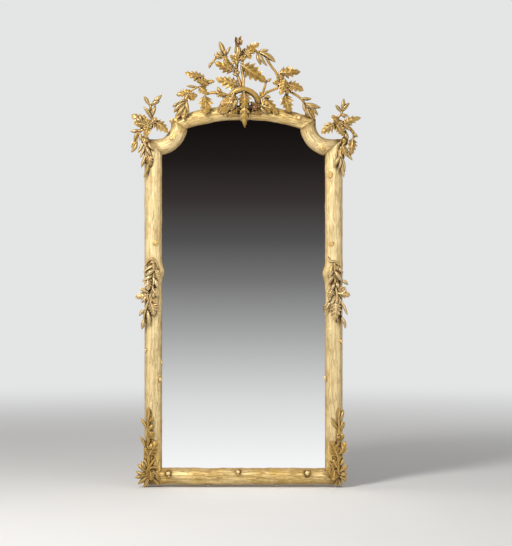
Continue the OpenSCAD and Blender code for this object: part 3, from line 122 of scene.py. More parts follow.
SPRAYS = {
    "crest_left": {
        "at": CREST_AT,
        "leaves": [
            [-198, 208, 82, -290, 230, 92, 56, 12], [-172, 166, 84, -234, 188, 98, 58, -14],
            [-184, 180, 82, -142, 186, 88, 34, 10], [-264, 128, 84, -332, 117, 90, 56, 8],
            [-284, 122, 84, -226, 114, 90, 60, -10], [-272, 126, 86, -290, 92, 92, 46, 0],
            [-266, 124, 86, -242, 90, 94, 42, 8], [-222, 160, 82, -178, 116, 96, 54, -12],
            [-193, 120, 80, -189, 18, 98, 84, 8], [-84, 110, 88, -138, 138, 92, 36, 10],
            [-290, 72, 86, -338, 4, 92, 52, 8], [-284, 60, 88, -300, -4, 94, 40, -6],
        ],
        "buds": [
            [-228, 157, 82, -284, 162, 90, 6], [-120, 120, 84, -134, 112, 96, 6],
            [-238, 198, 86, -248, 188, 88, 5], [-284, 92, 84, -326, 78, 88, 6],
            [-322, 80, 88, -352, 58, 84, 6], [-282, 92, 82, -269, 28, 92, 8],
            [-288, 84, 84, -345, 30, 90, 10], [-286, 74, 86, -336, 8, 90, 9],
            [-286, 68, 86, -309, 10, 92, 9], [-282, 60, 84, -292, 16, 90, 8],
        ],
        "stems": [
            [11, 6, [[-58, 106, 84], [-108, 124, 84], [-153, 130, 84], [-190, 122, 80]]],
            [6, 5, [[-190, 124, 80], [-192, 152, 80], [-196, 182, 82], [-200, 220, 82]]],
            [5, 5, [[-194, 160, 80], [-230, 156, 82], [-264, 136, 84]]],
            [5, 5, [[-200, 196, 82], [-238, 198, 86]]],
            [8, 8, [[-276, 126, 82], [-283, 96, 82], [-284, 74, 80], [-296, 44, 76]]],
            [6, 6, [[-190, 110, 78], [-190, 44, 68]]],
        ],
        "pads": [
            [-190, 44, 66, 16, 18, 20], [-304, 26, 66, 22, 24, 22], [-196, 178, 80, 14, 26, 10],
            [-276, 126, 80, 22, 20, 10],
        ],
    },
    "crest_right": {
        "at": CREST_AT,
        "leaves": [
            [172, 232, 80, 283, 233, 92, 68, 12], [194, 176, 84, 143, 178, 94, 48, -8],
            [198, 174, 82, 180, 222, 88, 46, 8], [204, 204, 88, 182, 116, 100, 64, 4],
            [202, 168, 88, 226, 124, 96, 46, -6], [206, 172, 82, 298, 140, 94, 70, -12],
            [206, 122, 84, 231, 30, 100, 76, 8], [310, 62, 86, 352, -4, 92, 48, 8],
        ],
        "buds": [
            [286, 101, 84, 338, 99, 88, 8], [304, 76, 84, 383, 54, 88, 10],
            [306, 70, 86, 358, 40, 92, 7], [304, 68, 86, 333, 12, 92, 8], [296, 84, 84, 312, 24, 90, 7],
            [332, 56, 86, 370, 16, 88, 7], [314, 62, 88, 340, 2, 98, 7],
        ],
        "stems": [
            [7, 6, [[181, 236, 80], [181, 206, 82], [196, 176, 82], [210, 152, 82], [214, 130, 84]]],
            [6, 6, [[216, 146, 82], [240, 130, 82], [272, 111, 82], [292, 92, 82], [310, 62, 80],
                [318, 40, 70]]],
            [7, 7, [[214, 132, 82], [218, 104, 78], [224, 60, 70]]],
        ],
        "pads": [
            [224, 42, 66, 16, 18, 20], [322, 26, 66, 18, 20, 20], [198, 172, 80, 20, 24, 12],
        ],
    },
    "crest_loop": {
        "at": CREST_AT,
        "leaves": [
            [-46, 128, 106, -112, 24, 98, 92, 8], [-14, 18, 82, -132, 40, 90, 40, -10],
            [-14, 62, 88, -76, 26, 96, 40, 8],
            [2, 134, 108, 5, 48, 116, 76, 4], [6, 86, 108, 6, -38, 100, 48, -6],
            [96, 56, 80, 34, 84, 92, 44, 10], [98, 32, 80, 38, 30, 90, 42, -8],
            [88, 106, 82, 174, 22, 90, 66, -14], [84, 70, 86, 134, 30, 98, 44, 12],
        ],
        "buds": [
            [-40, 118, 98, -112, 38, 96, 9], [-36, 112, 100, -88, 24, 98, 9],
            [-30, 108, 102, -62, 36, 101, 8],
            [-44, 122, 96, -120, 66, 94, 8], [-28, 104, 102, -44, 52, 102, 7], [92, 66, 92, 130, 44, 92, 7],
            [86, 58, 94, 116, 30, 94, 7],
            [-108, 124, 84, -130, 160, 88, 8], [-8, 46, 94, -14, -2, 98, 8], [16, 48, 94, 22, 2, 98, 8],
            [90, 102, 84, 83, 136, 88, 6], [98, 112, 84, 136, 106, 90, 7], [52, 44, 82, 60, 78, 92, 9],
            [30, 62, 78, 42, 60, 92, 8],
        ],
        "stems": [
            [16, 15, [[-72, 66, 70], [-66, 104, 86], [-40, 136, 92], [-3, 144, 94], [34, 134, 92],
                [62, 110, 86], [76, 74, 70]]],
            [7, 6, [[70, 96, 84], [97, 116, 84], [114, 131, 84], [164, 151, 84], [200, 172, 84]]],
            [6, 5, [[92, 118, 84], [107, 164, 88], [112, 190, 92]]],
        ],
        "pads": [
            [-72, 48, 66, 56, 36, 24], [-68, 14, 80, 14, 11, 9], [70, 50, 64, 46, 32, 24],
            [4, 76, 84, 24, 46, 22],
        ],
    },
    "crest_top": {
        "at": CREST_AT,
        "leaves": [
            [-14, 164, 86, -138, 200, 90, 80, 12], [-48, 232, 82, -144, 280, 86, 66, -8],
            [-14, 270, 84, 116, 180, 92, 92, 14], [8, 314, 80, 78, 374, 86, 68, -12],
            [-32, 296, 80, 8, 352, 70, 40, 10], [-30, 290, 84, -68, 316, 92, 34, 0],
            [-34, 300, 84, 14, 296, 92, 40, 0], [-34, 262, 86, -36, 332, 94, 44, 0],
            [4, 334, 80, 38, 296, 90, 42, 10], [-96, 306, 84, -146, 318, 90, 40, 10],
            [-92, 318, 84, -80, 272, 92, 36, 0],
        ],
        "buds": [
            [-94, 316, 82, -120, 383, 84, 12], [-96, 313, 82, -134, 331, 88, 7],
            [-98, 308, 82, -146, 319, 86, 7], [-152, 280, 82, -171, 250, 84, 7],
            [-90, 312, 82, -93, 342, 90, 6], [-87, 312, 82, -62, 360, 80, 6],
            [-34, 296, 84, -31, 372, 90, 12], [-33, 372, 80, -21, 403, 86, 7],
            [-28, 386, 80, -4, 374, 88, 7], [-40, 296, 84, -54, 266, 90, 6],
            [-33, 296, 86, -33, 262, 92, 6], [70, 330, 82, 126, 341, 88, 8],
            [76, 330, 84, 158, 280, 90, 12], [68, 328, 82, 86, 266, 88, 9],
            [74, 328, 84, 118, 260, 92, 8], [76, 330, 84, 102, 276, 96, 9],
            [-36, 230, 84, -54, 222, 94, 8], [-36, 230, 84, -44, 246, 94, 8],
            [-36, 230, 84, -26, 246, 94, 8], [-36, 230, 84, -17, 232, 94, 8],
            [-36, 230, 84, -28, 214, 94, 8], [-36, 230, 84, -46, 214, 94, 8],
            [111, 182, 92, 139, 200, 92, 6],
        ],
        "stems": [
            [8, 7, [[-3, 150, 90], [0, 201, 84], [-8, 251, 82], [-4, 288, 80], [14, 318, 80]]],
            [7, 6, [[-12, 150, 88], [-17, 182, 84], [-37, 230, 80], [-50, 256, 80], [-74, 284, 80],
                [-90, 314, 82]]],
            [8, 7, [[-37, 230, 80], [-33, 266, 80], [-33, 304, 84], [-38, 340, 82], [-33, 374, 80]]],
            [7, 5, [[-94, 306, 82], [-122, 304, 80], [-140, 298, 80], [-156, 276, 82]]],
            [6, 6, [[40, 340, 88], [76, 330, 84]]],
            [6, 6, [[112, 302, 87], [140, 258, 82], [160, 232, 82], [170, 202, 82], [186, 182, 82]]],
        ],
        "pads": [
        ],
    },
    "corner_spray_left": {
        "at": (-CORNER_AT[0], CORNER_AT[1]),
        "leaves": [
            [-46, -6, 78, -126, 50, 90, 78, 12], [-40, -12, 82, -72, 46, 94, 48, -8],
            [-18, 18, 76, 58, -42, 88, 68, -12], [-44, -10, 84, -54, -70, 94, 52, 10],
            [-52, -2, 82, -112, 6, 94, 52, -10], [-46, -140, 84, -32, -206, 92, 40, 8],
            [-34, 2, 84, 2, 34, 94, 42, 8], [-94, -78, 84, -126, -116, 90, 34, 8],
        ],
        "buds": [
            [-40, 100, 82, -64, 140, 86, 9], [-24, 104, 80, 26, 148, 84, 9],
            [-28, 96, 82, 16, 116, 88, 9], [-26, 26, 80, -66, 88, 86, 8], [-25, 38, 80, -6, 96, 86, 9],
            [-92, -24, 80, -132, -34, 86, 7], [-92, -34, 82, -112, -84, 86, 7],
            [-84, -40, 82, -86, -80, 88, 8], [-100, -84, 82, -128, -138, 86, 9],
            [-64, -90, 82, -92, -141, 88, 8], [-58, -112, 82, -82, -166, 88, 7],
            [-50, -138, 82, -77, -213, 86, 8], [-38, -178, 82, -65, -262, 86, 8],
            [-54, -108, 84, -26, -158, 92, 7], [-42, -90, 84, -14, -126, 92, 7],
            [-80, 8, 84, -104, 30, 94, 8],
            [-72, 14, 84, -80, 44, 94, 8], [-84, 4, 84, -116, 6, 94, 8],
        ],
        "stems": [
            [8, 5, [[-30, -8, 78], [-22, 16, 78], [-28, 48, 78], [-32, 82, 80], [-26, 102, 80]]],
            [5, 4, [[-86, -36, 82], [-98, -62, 84], [-104, -92, 84]]],
            [5, 5, [[-30, 86, 80], [-42, 106, 82]]],
            [8, 7, [[-44, -6, 78], [-76, -28, 76], [-94, -32, 78], [-82, -56, 78], [-64, -86, 80],
                [-49, -130, 82], [-34, -206, 80]]],
        ],
        "pads": [
            [-52, -6, 74, 34, 26, 14], [-46, -140, 72, 18, 60, 16], [-58, -78, 66, 20, 26, 22],
        ],
    },
    "corner_spray_right": {
        "at": (CORNER_AT[0], CORNER_AT[1]),
        "leaves": [
            [26, 6, 80, -44, -46, 92, 70, 12], [58, -2, 78, 154, 34, 90, 58, -12],
            [34, -2, 84, 70, -58, 94, 54, 10], [112, -62, 80, 102, -154, 92, 60, -8],
            [40, 4, 84, 8, 46, 92, 46, 8], [60, 6, 84, 100, -30, 94, 44, 6],
            [60, -96, 84, 84, -160, 92, 44, 8],
        ],
        "buds": [
            [56, 62, 82, 25, 98, 86, 8], [60, 70, 80, 68, 130, 84, 8], [62, 66, 80, 97, 108, 84, 8],
            [54, 52, 82, 88, 47, 86, 8], [114, -42, 80, 137, -62, 84, 7], [76, -40, 82, 90, -74, 90, 8],
            [72, -104, 80, 112, -178, 84, 8], [50, -150, 82, 16, -212, 86, 8],
            [50, -160, 84, 42, -224, 88, 8], [54, -158, 82, 74, -232, 86, 8],
            [50, -178, 82, 68, -262, 86, 8],
        ],
        "stems": [
            [7, 5, [[30, 6, 78], [40, 34, 78], [54, 52, 80], [62, 72, 80]]],
            [8, 7, [[34, -2, 76], [66, -2, 76], [98, -18, 78], [118, -46, 78], [117, -66, 78]]],
            [8, 7, [[40, -6, 78], [78, -42, 78], [74, -84, 78], [56, -122, 80], [50, -184, 80]]],
        ],
        "pads": [
            [44, 0, 74, 32, 24, 14], [54, -152, 72, 18, 46, 16], [72, -80, 66, 18, 24, 22],
        ],
    },
    "side_spray_left": {
        "at": (-SIDE_AT[0], SIDE_AT[1]),
        "leaves": [
            [-14, -2, 84, -86, -16, 88, 64, 12], [-10, -40, 86, 6, -106, 96, 54, 8],
            [12, -44, 82, 34, -104, 86, 38, -10], [10, 122, 84, 33, 66, 86, 36, 8],
            [-26, 80, 84, -22, 18, 94, 50, -8], [-20, 8, 84, -64, 30, 88, 38, -10],
            [-2, 30, 86, 26, -12, 92, 46, 8],
        ],
        "buds": [
            [12, 146, 82, -46, 108, 82, 9], [8, 122, 84, -36, 88, 86, 9], [2, 100, 84, -56, 62, 80, 8],
            [2, 84, 84, 2, 42, 92, 8], [14, 74, 84, 24, 32, 86, 8], [-22, -18, 80, -60, -44, 78, 5],
            [-38, -78, 76, -68, -110, 76, 7], [-42, -118, 74, -55, -176, 74, 9],
            [-26, -80, 82, -14, -156, 88, 8], [16, 10, 84, 4, -20, 92, 8],
        ],
        "stems": [
            [5, 5, [[-36, 144, 72], [-22, 166, 78], [-2, 174, 82], [18, 156, 80], [26, 124, 76],
                [30, 84, 74]]],
            [7, 7, [[-8, 4, 82], [-22, -34, 80], [-36, -80, 76], [-44, -126, 72]]],
            [7, 6, [[4, 150, 80], [4, 90, 82], [0, 30, 82], [-8, -20, 82], [-12, -70, 84]]],
        ],
        "pads": [
            [-4, 84, 74, 34, 76, 12], [-4, -44, 74, 32, 74, 12],
        ],
    },
    "side_spray_right": {
        "at": (SIDE_AT[0], SIDE_AT[1]),
        "leaves": [
            [10, 6, 84, 80, -8, 90, 66, 12], [6, -36, 86, -2, -130, 96, 60, 8],
            [-18, -40, 82, -46, -96, 80, 38, -8], [-18, 138, 82, -22, 78, 92, 34, 8],
            [12, 34, 86, 60, 30, 88, 36, -8], [-6, 28, 86, -30, -20, 90, 46, 8],
        ],
        "buds": [
            [-8, 144, 82, -16, 80, 88, 9], [2, 116, 84, 40, 62, 84, 9], [34, 70, 80, 69, 44, 76, 7],
            [0, 92, 84, -24, 48, 84, 9], [4, 54, 84, -18, 22, 88, 7], [12, 60, 84, 24, 28, 90, 8],
            [24, 132, 78, 46, 104, 74, 8], [34, -34, 78, 66, -104, 76, 7],
            [34, -112, 78, 56, -172, 76, 8], [4, -102, 82, 20, -142, 86, 6],
            [-10, 4, 84, -22, -34, 88, 8],
        ],
        "stems": [
            [4, 5, [[-34, 184, 70], [-18, 162, 80], [2, 160, 82], [24, 144, 78]]],
            [7, 7, [[2, 154, 80], [2, 90, 82], [8, 40, 82], [14, -14, 82], [8, -60, 84]]],
            [6, 6, [[16, -4, 80], [30, -34, 76], [34, -78, 74], [36, -124, 72]]],
        ],
        "pads": [
            [4, 84, 74, 34, 76, 12], [4, -44, 74, 32, 84, 12],
        ],
    },
    "foot_spray_left": {
        "at": (-FOOT_AT[0], FOOT_AT[1]),
        "leaves": [
            [-64, 64, 86, -16, 144, 92, 66, 8], [-66, 196, 84, -40, 150, 92, 36, -8],
            [-40, -8, 84, -10, -54, 88, 42, 8], [-62, 66, 86, -88, 108, 84, 42, -10],
            [-58, -6, 86, -50, -54, 98, 54, 8], [-64, 148, 84, -42, 188, 90, 34, 8],
            [-66, 236, 84, -36, 258, 92, 30, 8],
        ],
        "buds": [
            [-66, 240, 76, -66, 304, 80, 14], [-68, 194, 75, -102, 253, 72, 7],
            [-62, 190, 76, -36, 224, 80, 8], [-78, 96, 72, -107, 164, 70, 7],
            [-56, 96, 88, -46, 132, 94, 9], [-76, -4, 76, -97, 40, 78, 9], [-78, 4, 78, -86, 50, 80, 8],
            [-74, -12, 76, -120, 26, 80, 9], [-74, -20, 78, -129, -10, 82, 9],
            [-72, -28, 78, -132, -42, 82, 10], [-70, -36, 78, -118, -74, 80, 9],
            [-64, -42, 78, -90, -90, 80, 9], [-52, -40, 85, -10, -82, 76, 7],
        ],
        "stems": [
            [10, 9, [[-66, 246, 74], [-66, 188, 76], [-64, 112, 78], [-64, 40, 80], [-66, -26, 80]]],
            [6, 6, [[-32, 54, 84], [-56, 20, 86], [-78, -10, 84]]],
            [6, 6, [[-76, -16, 86], [-52, 8, 86], [-22, 8, 80]]],
        ],
        "pads": [
            [-60, 60, 70, 28, 100, 16], [-58, -24, 70, 36, 34, 18],
        ],
    },
    "foot_spray_right": {
        "at": (FOOT_AT[0], FOOT_AT[1]),
        "leaves": [
            [60, 58, 86, 22, 142, 92, 66, 8], [66, 72, 84, 100, 140, 84, 54, -10],
            [70, 140, 82, 90, 178, 82, 38, 8], [60, 4, 86, 34, 50, 92, 40, -8],
            [30, -40, 82, 4, 14, 86, 36, 8], [70, -14, 84, 110, 22, 84, 42, -10],
            [46, -6, 86, 38, -56, 98, 50, 8],
        ],
        "buds": [
            [66, 246, 76, 66, 304, 80, 12], [72, 232, 74, 91, 296, 72, 7],
            [64, 200, 76, 26, 254, 76, 7], [70, 196, 76, 84, 242, 78, 7], [76, 188, 74, 96, 234, 74, 7],
            [60, 150, 84, 74, 166, 92, 9], [68, 18, 78, 91, 54, 80, 8], [72, -24, 78, 110, -28, 82, 11],
            [70, -34, 78, 105, -62, 82, 10], [58, -44, 78, 50, -86, 80, 7],
            [64, -48, 78, 80, -84, 80, 8], [24, 30, 80, 42, -4, 86, 7],
        ],
        "stems": [
            [9, 9, [[66, 250, 74], [68, 188, 76], [62, 112, 78], [62, 40, 80], [66, -30, 80]]],
            [6, 6, [[66, 176, 80], [58, 160, 84], [66, 146, 86], [78, 158, 82]]],
            [6, 6, [[60, 30, 84], [36, 24, 84], [20, 34, 80]]],
        ],
        "pads": [
            [58, 60, 70, 28, 100, 16], [54, -24, 70, 36, 34, 18],
        ],
    },
}

# Florets, by the spray they are in: middle, aim, reach and number of petals
FLORETS = {
    "crest_loop": [[54, 56, 100, 0.1, 0.1, 1, 21, 6]],
    "crest_top": [[-26, 379, 94, 0.25, 0.3, 0.9, 30, 6], [-37, 231, 92, -0.1, -0.1, 1, 21, 5]],
}


# Settings that a user can change in the sidebar

def colour_setting(label, text, *value):
    return FloatVectorProperty(name=label, description=text, subtype="COLOR", default=value, min=0, max=1)


def length_setting(label, text, value, least=0.0):
    return FloatProperty(name=label, description=text, default=value, min=least, unit="LENGTH")


def share_setting(label, text, value, least=0.0, most=1.0):
    return FloatProperty(name=label, description=text, default=value, min=least, max=most, subtype="FACTOR")


def power_setting(label, text, value):
    return FloatProperty(name=label, description=text, default=value, min=0)


class TrunkSettings(bpy.types.PropertyGroup):
    """Sizes of the carved bark."""
    step: length_setting("Step", "Spacing of the points along the trunk", 0.005, 0.002)
    ridge: length_setting("Ridge Depth", "Depth of the long grooves", 0.0018)
    swell: length_setting("Swell", "Height of the slow lumps along the trunk", 0.0042)
    seed: IntProperty(name="Seed", description="Picks the pattern of the bark", default=4)


class CarvingSettings(bpy.types.PropertyGroup):
    """Sizes of the carved leaves, buds and stems."""
    notch: share_setting("Notch", "Width left at a leaf's notches", 0.50, 0.2)
    edge: length_setting("Edge Thickness", "Thickness of a leaf at its rim", 0.0016, 0.0005)
    body: length_setting("Leaf Thickness", "Thickness of a leaf at its rib", 0.006, 0.001)
    bud_belly: share_setting("Bud Belly", "Where along it a bud is widest", 0.46, 0.1, 0.9)
    bud_fullness: share_setting("Bud Fullness", "Width of the buds against their solids", 1.3, 0.5, 2)
    bark: length_setting("Stem Bark", "Depth of the bark on the stems", 0.0008)


class GildingSettings(bpy.types.PropertyGroup):
    """Colours of the gold and of what shows through it."""
    gold: colour_setting("Gold", "Rubbed gold leaf", 0.63, 0.40, 0.105)
    # Pale Gold is also the painted highlight on the ribs of the feet and knots, and on the trunk's crown
    # mid-frame
    pale: colour_setting("Pale Gold", "Thin, pale gold leaf", 0.95, 0.76, 0.405)
    # Cream Gold is the painted highlight, with gold rubbed thin, on the ribs of the crest, corner and side
    # sprays
    cream: colour_setting("Cream Gold", "Gold leaf rubbed thin on high ribs", 1.0, 0.87, 0.60)
    tan: colour_setting("Tan Gold", "Dulled gold leaf of the corner and side sprays", 0.62, 0.44, 0.17)
    sand: colour_setting("Sand Gold", "Thin gold leaf of the side sprays", 0.84, 0.63, 0.32)
    # Toned Gold, of the crest, and Umber Gold, of the crest and corners, are deep partly as painted shade
    toned: colour_setting("Toned Gold", "Dulled gold leaf of the crest", 0.56, 0.365, 0.11)
    deep: colour_setting("Deep Gold", "Gold leaf in the depths of the feet", 0.46, 0.275, 0.062)
    umber: colour_setting("Umber Gold", "Gold leaf in the depths of the crest", 0.40, 0.24, 0.042)
    # Yellow Gold is the trunk's painted highlight at the frame's top and foot, and the knots' second gold
    sun: colour_setting("Yellow Gold", "Gold leaf of the trunk away from its pale ends", 0.86, 0.61, 0.20)
    rose: colour_setting("Rose Gold", "Gold leaf that lies thin over the clay", 0.60, 0.36, 0.18)
    streak: colour_setting("Streak", "Dull gold along the grooves of the trunk", 0.37, 0.22, 0.065)
    bole: colour_setting("Bole", "Red clay under the gold", 0.38, 0.18, 0.10)
    # The colour of the patina in the hollows, and of the painted shade there and in the carvings' cuts
    shade: colour_setting("Patina", "Dirt and size in the hollows", 0.11, 0.055, 0.012)


class BackSettings(bpy.types.PropertyGroup):
    """Colours of the bare wood and metal."""
    pine: colour_setting("Pine", "Aged pine", 0.30, 0.17, 0.075)
    ring: colour_setting("Pine Rings", "Dark late wood", 0.14, 0.070, 0.028)
    brass: colour_setting("Brass", "Aged brass", 0.62, 0.42, 0.16)
    steel: colour_setting("Steel", "Dark screw steel", 0.20, 0.18, 0.16)


class StageSettings(bpy.types.PropertyGroup):
    """The floor, the lights and the camera."""
    distance: length_setting("Camera Distance", "From the wall plane to the camera", 9, 3)
    view_w: length_setting("View Width", "Width that the picture takes in", 2.56, 0.5)
    key: power_setting("Key Light", "Power of the large light, in watts", 162)
    fill: power_setting("Fill Light", "Power of the fill light, in watts", 40)
    sky: power_setting("Sky", "Strength of the light from all round", 0.29)
    backdrop: share_setting("Backdrop", "How pale the ground behind the mirror is", 0.80)
    floor: colour_setting("Floor", "Pale studio floor", 0.82, 0.81, 0.79)


# Building blocks

def unit(v):
    return v / np.linalg.norm(v)


def stand(points):
    """Turns [across, up, out] in millimetres into the room's metres."""
    p = np.asarray(points, float)
    return np.stack([p[:, 0], -p[:, 2], p[:, 1]], 1) * MM


def store(mesh, name, values):
    """Stores a value on each point: a number, or a vector where a row has three."""
    values = np.array(values, np.float32)
    kind, key = ("FLOAT_VECTOR", "vector") if values.ndim > 1 else ("FLOAT", "value")
    mesh.attributes.new(name, kind, "POINT").data.foreach_set(key, values.ravel())


def read(items, name, width=3, kind=np.float32):
    """What a mesh's points or triangles hold, a row for each."""
    values = np.empty(len(items) * width, kind)
    items.foreach_get(name, values)
    return values.reshape(-1, width)


def smooth(mesh, angle):
    """Smooth shading, but for edges that are sharper than an angle in degrees."""
    mesh.shade_smooth()
    mesh.set_sharp_from_angle(angle=math.radians(angle))


class Shape:
    """A mesh while it is being built: points in millimetres, faces, and values on the points."""

    def __init__(self, *value_names):
        self.points = []
        self.faces = []
        self.values = {name: [] for name in value_names}
        self.count = 0

    def add(self, points, faces, **values):
        points = np.asarray(points, float).reshape(-1, 3)
        self.points.append(points)
        self.faces.extend(tuple(self.count + i for i in face) for face in faces)
        for name, value in values.items():
            self.values[name].append(np.broadcast_to(np.asarray(value, float).ravel(), (len(points),)))
        self.count += len(points)

    def piece(self, name, material, angle=40):
        mesh = bpy.data.meshes.new(name)
        mesh.from_pydata(stand(np.concatenate(self.points)).tolist(), [], self.faces)
        for value_name, values in self.values.items():
            store(mesh, value_name, np.concatenate(values))
        mesh.materials.append(material)
        smooth(mesh, angle)
        return link(name, mesh)


def link(name, mesh):
    piece = bpy.data.objects.new(name, mesh)
    bpy.context.scene.collection.objects.link(piece)
    return piece


def seat(piece, slot, *nodes):
    """Seats a finished piece: its body, and the CAD nodes that it stands for. The slot is not used."""
    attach(piece, FRAME_BODY)
    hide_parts(*nodes)


def turned_over(faces, turned=True):
    """Faces that look the other way, or the faces as they are."""
    return [face[::-1] for face in faces] if turned else faces


def sheet_faces(rows, cols):
    """Faces of a grid of points."""
    corners = [i * cols + j for i in range(rows - 1) for j in range(cols - 1)]
    return [(p, p + cols, p + cols + 1, p + 1) for p in corners]


def tube_faces(rows, cols):
    """Walls of a tube of closed rings, with a flat face over each end."""
    faces = []
    for i in range(rows - 1):
        for j in range(cols):
            k = (j + 1) % cols
            faces.append((i * cols + j, i * cols + k, (i + 1) * cols + k, (i + 1) * cols + j))
    faces.append(tuple(range(cols))[::-1])
    faces.append(tuple((rows - 1) * cols + j for j in range(cols)))
    return faces


class Value:
    """What a socket holds: + - and * make the math nodes."""

    def __init__(self, nodes, socket):
        self.nodes = nodes
        self.socket = socket

    def __add__(self, other):
        return self.nodes.math("ADD", self, other)

    def __sub__(self, other):
        return self.nodes.math("SUBTRACT", self, other)

    def __rsub__(self, other):
        return self.nodes.math("SUBTRACT", other, self)

    def __mul__(self, other):
        return self.nodes.math("MULTIPLY", self, other)

    __radd__ = __add__
    __rmul__ = __mul__


class Nodes:
    """Adds nodes to a tree. An input that is given a Value is linked, and any other is set."""

    def __init__(self, tree):
        self.tree = tree
        self.x = 0

    def add(self, kind, inputs=None, **settings):
        node = self.tree.nodes.new(kind)
        node.location = (self.x, 0)
        self.x += 180
        for key, value in settings.items():
            setattr(node, key, value)
        for key, value in (inputs or {}).items():
            self.set(node.inputs[key], value)
        return node

    def set(self, socket, value):
        if isinstance(value, Value):
            self.tree.links.new(value.socket, socket)
        elif socket.type == "RGBA":
            socket.default_value = (*value[:3], 1)
        else:
            socket.default_value = value

    def give(self, sockets, **values):
        for name, value in values.items():
            self.set(sockets[name.replace("_", " ")], value)

    def outputs(self, node):
        return {socket.name: Value(self, socket) for socket in node.outputs}

    def shader(self, kind, inputs=None, output=0, **settings):
        return Value(self, self.add("ShaderNode" + kind, inputs, **settings).outputs[output])

    def geometry(self, kind, inputs=None, output=0, **settings):
        return Value(self, self.add("GeometryNode" + kind, inputs, **settings).outputs[output])

    def function(self, kind, inputs=None, output=0, **settings):
        return Value(self, self.add("FunctionNode" + kind, inputs, **settings).outputs[output])

    def group(self, tree, **values):
        node = self.add("ShaderNodeGroup", node_tree=tree)
        self.give(node.inputs, **values)
        return self.outputs(node)

    def math(self, operation, a, b=0.0, clamp=False):
        return self.shader("Math", {0: a, 1: b}, operation=operation, use_clamp=clamp)

    def vector(self, operation, a, b=(0, 0, 0)):
        output = "Value" if operation == "LENGTH" else "Vector"
        return self.shader("VectorMath", {0: a, 1: b}, output, operation=operation)

    def noise(self, vector, scale, detail=3, roughness=0.55):
        return self.shader("TexNoise", {
            "Vector": vector, "Scale": scale, "Detail": detail, "Roughness": roughness})

    def drawn_noise(self, vector, stretch, detail, roughness=0.55, shift=None):
        """Noise that is drawn out, or packed, along each axis."""
        place = self.vector("MULTIPLY", vector, stretch)
        if shift is not None:
            place = self.vector("ADD", place, shift)
        return self.noise(place, 1, detail, roughness)

    def named(self, name, data_type="FLOAT"):
        """A value stored on the points."""
        return self.geometry("InputNamedAttribute", {"Name": name}, "Attribute", data_type=data_type)

    def ramp(self, value, low, high, out_low=0.0, out_high=1.0, **settings):
        return self.shader("MapRange", {
            "Value": value, "From Min": low, "From Max": high, "To Min": out_low, "To Max": out_high},
            "Result", **settings)

    def mix(self, factor, a, b):
        # Sockets 6, 7 and 2 are the node's two colours and their mix
        return self.shader("Mix", {"Factor": factor, 6: a, 7: b}, 2, data_type="RGBA")

    def push_out(self, shape, distance):
        """Moves each point of a geometry along its normal."""
        normal = self.geometry("InputNormal")
        way = self.shader("VectorMath", {0: normal, "Scale": distance}, operation="SCALE")
        return self.geometry("SetPosition", {"Geometry": shape, "Offset": way})

    def finish(self, shape, material, out):
        """Makes a tree's geometry real, gives it its material and sends it out."""
        whole = self.geometry("RealizeInstances", {"Geometry": shape})
        self.set(out["Geometry"], self.geometry("SetMaterial", {"Geometry": whole, "Material": material}))


def new_group(name, kind, inputs, outputs):
    """A node group with named sockets: its tree, its Nodes, the values given to it and its outputs."""
    tree = bpy.data.node_groups.new(name, kind)
    for way, sockets in (("INPUT", inputs), ("OUTPUT", outputs)):
        for label, socket in sockets.items():
            tree.interface.new_socket(label, in_out=way, socket_type="NodeSocket" + socket)
    n = Nodes(tree)
    return tree, n, n.outputs(n.add("NodeGroupInput")), n.add("NodeGroupOutput").inputs


def carving_tree(name, **inputs):
    """A geometry tree, which takes a geometry, a material and what else is named."""
    inputs = {"Geometry": "Geometry", **inputs, "Material": "Material"}
    return new_group(name, "GeometryNodeTree", inputs, {"Geometry": "Geometry"})


def run_tree(piece, tree, **values):
    """Runs a geometry tree on a piece once and keeps the result as its plain mesh."""
    modifier = piece.modifiers.new(tree.name, "NODES")
    modifier.node_group = tree
    for item in tree.interface.items_tree:
        if item.in_out == "INPUT" and item.name in values:
            modifier[item.identifier] = values[item.name]
    piece.update_tag()
    bpy.context.view_layer.update()
    shown = piece.evaluated_get(bpy.context.evaluated_depsgraph_get())
    mesh = bpy.data.meshes.new_from_object(shown)
    piece.modifiers.clear()
    old = piece.data
    piece.data = mesh
    mesh.name = piece.name
    bpy.data.meshes.remove(old)


# Finishes

GILDING_INPUTS = {
    "Vector": "Vector", "Gold": "Color", "Pale": "Color", "Rose": "Color", "Bole": "Color",
    "Patina": "Color", "Hollow": "Float", "Dirt": "Float", "Rub": "Float", "Blush": "Float",
}


def gilding_group():
    """Water gilding over red bole: leaf of two golds, rubbed spots, and patina and painted shade in the
    hollows.
    """
    tree, n, given, out = new_group("Gilding", "ShaderNodeTree", GILDING_INPUTS, {
        "Color": "Color", "Metallic": "Float", "Roughness": "Float", "Height": "Float"})
    place = given["Vector"]
    broad = n.noise(place, 9, 3)
    cloud = n.noise(place, 38, 4, 0.6)
    fine = n.noise(place, 210, 3, 0.65)
    colour = n.mix(n.ramp(broad * 0.6 + cloud * 0.4, 0.40, 0.60), given["Gold"], given["Pale"])
    thin = n.noise(n.vector("ADD", place, (3.1, 0.7, 5.3)), 24, 2)
    colour = n.mix(n.ramp(thin, 0.50, 0.66, 0, given["Blush"]), colour, given["Rose"])
    spots = n.ramp(cloud * 0.5 + fine * 0.5, 0.60, 0.70)
    colour = n.mix(spots * given["Rub"], colour, given["Bole"])
    # Patina and painted shade: darker where the sky over a point is covered close by, and where pieces
    # touch
    patina_and_shade = n.ramp(given["Hollow"], 0.10, 0.65) * n.ramp(cloud, 0.25, 0.75, 0.75, 1.25)
    patina_and_shade = n.math("MULTIPLY", patina_and_shade, given["Dirt"], clamp=True)
    n.give(out, Color=n.mix(patina_and_shade, colour, given["Patina"]), Metallic=n.ramp(patina_and_shade, 0, 1, 0.72, 0.15),
           Roughness=n.ramp(patina_and_shade, 0, 1, 0.38, 0.66) + n.ramp(fine, 0.3, 0.7, -0.05, 0.07),
           Height=cloud * 0.7 + fine * 0.3)
    return tree


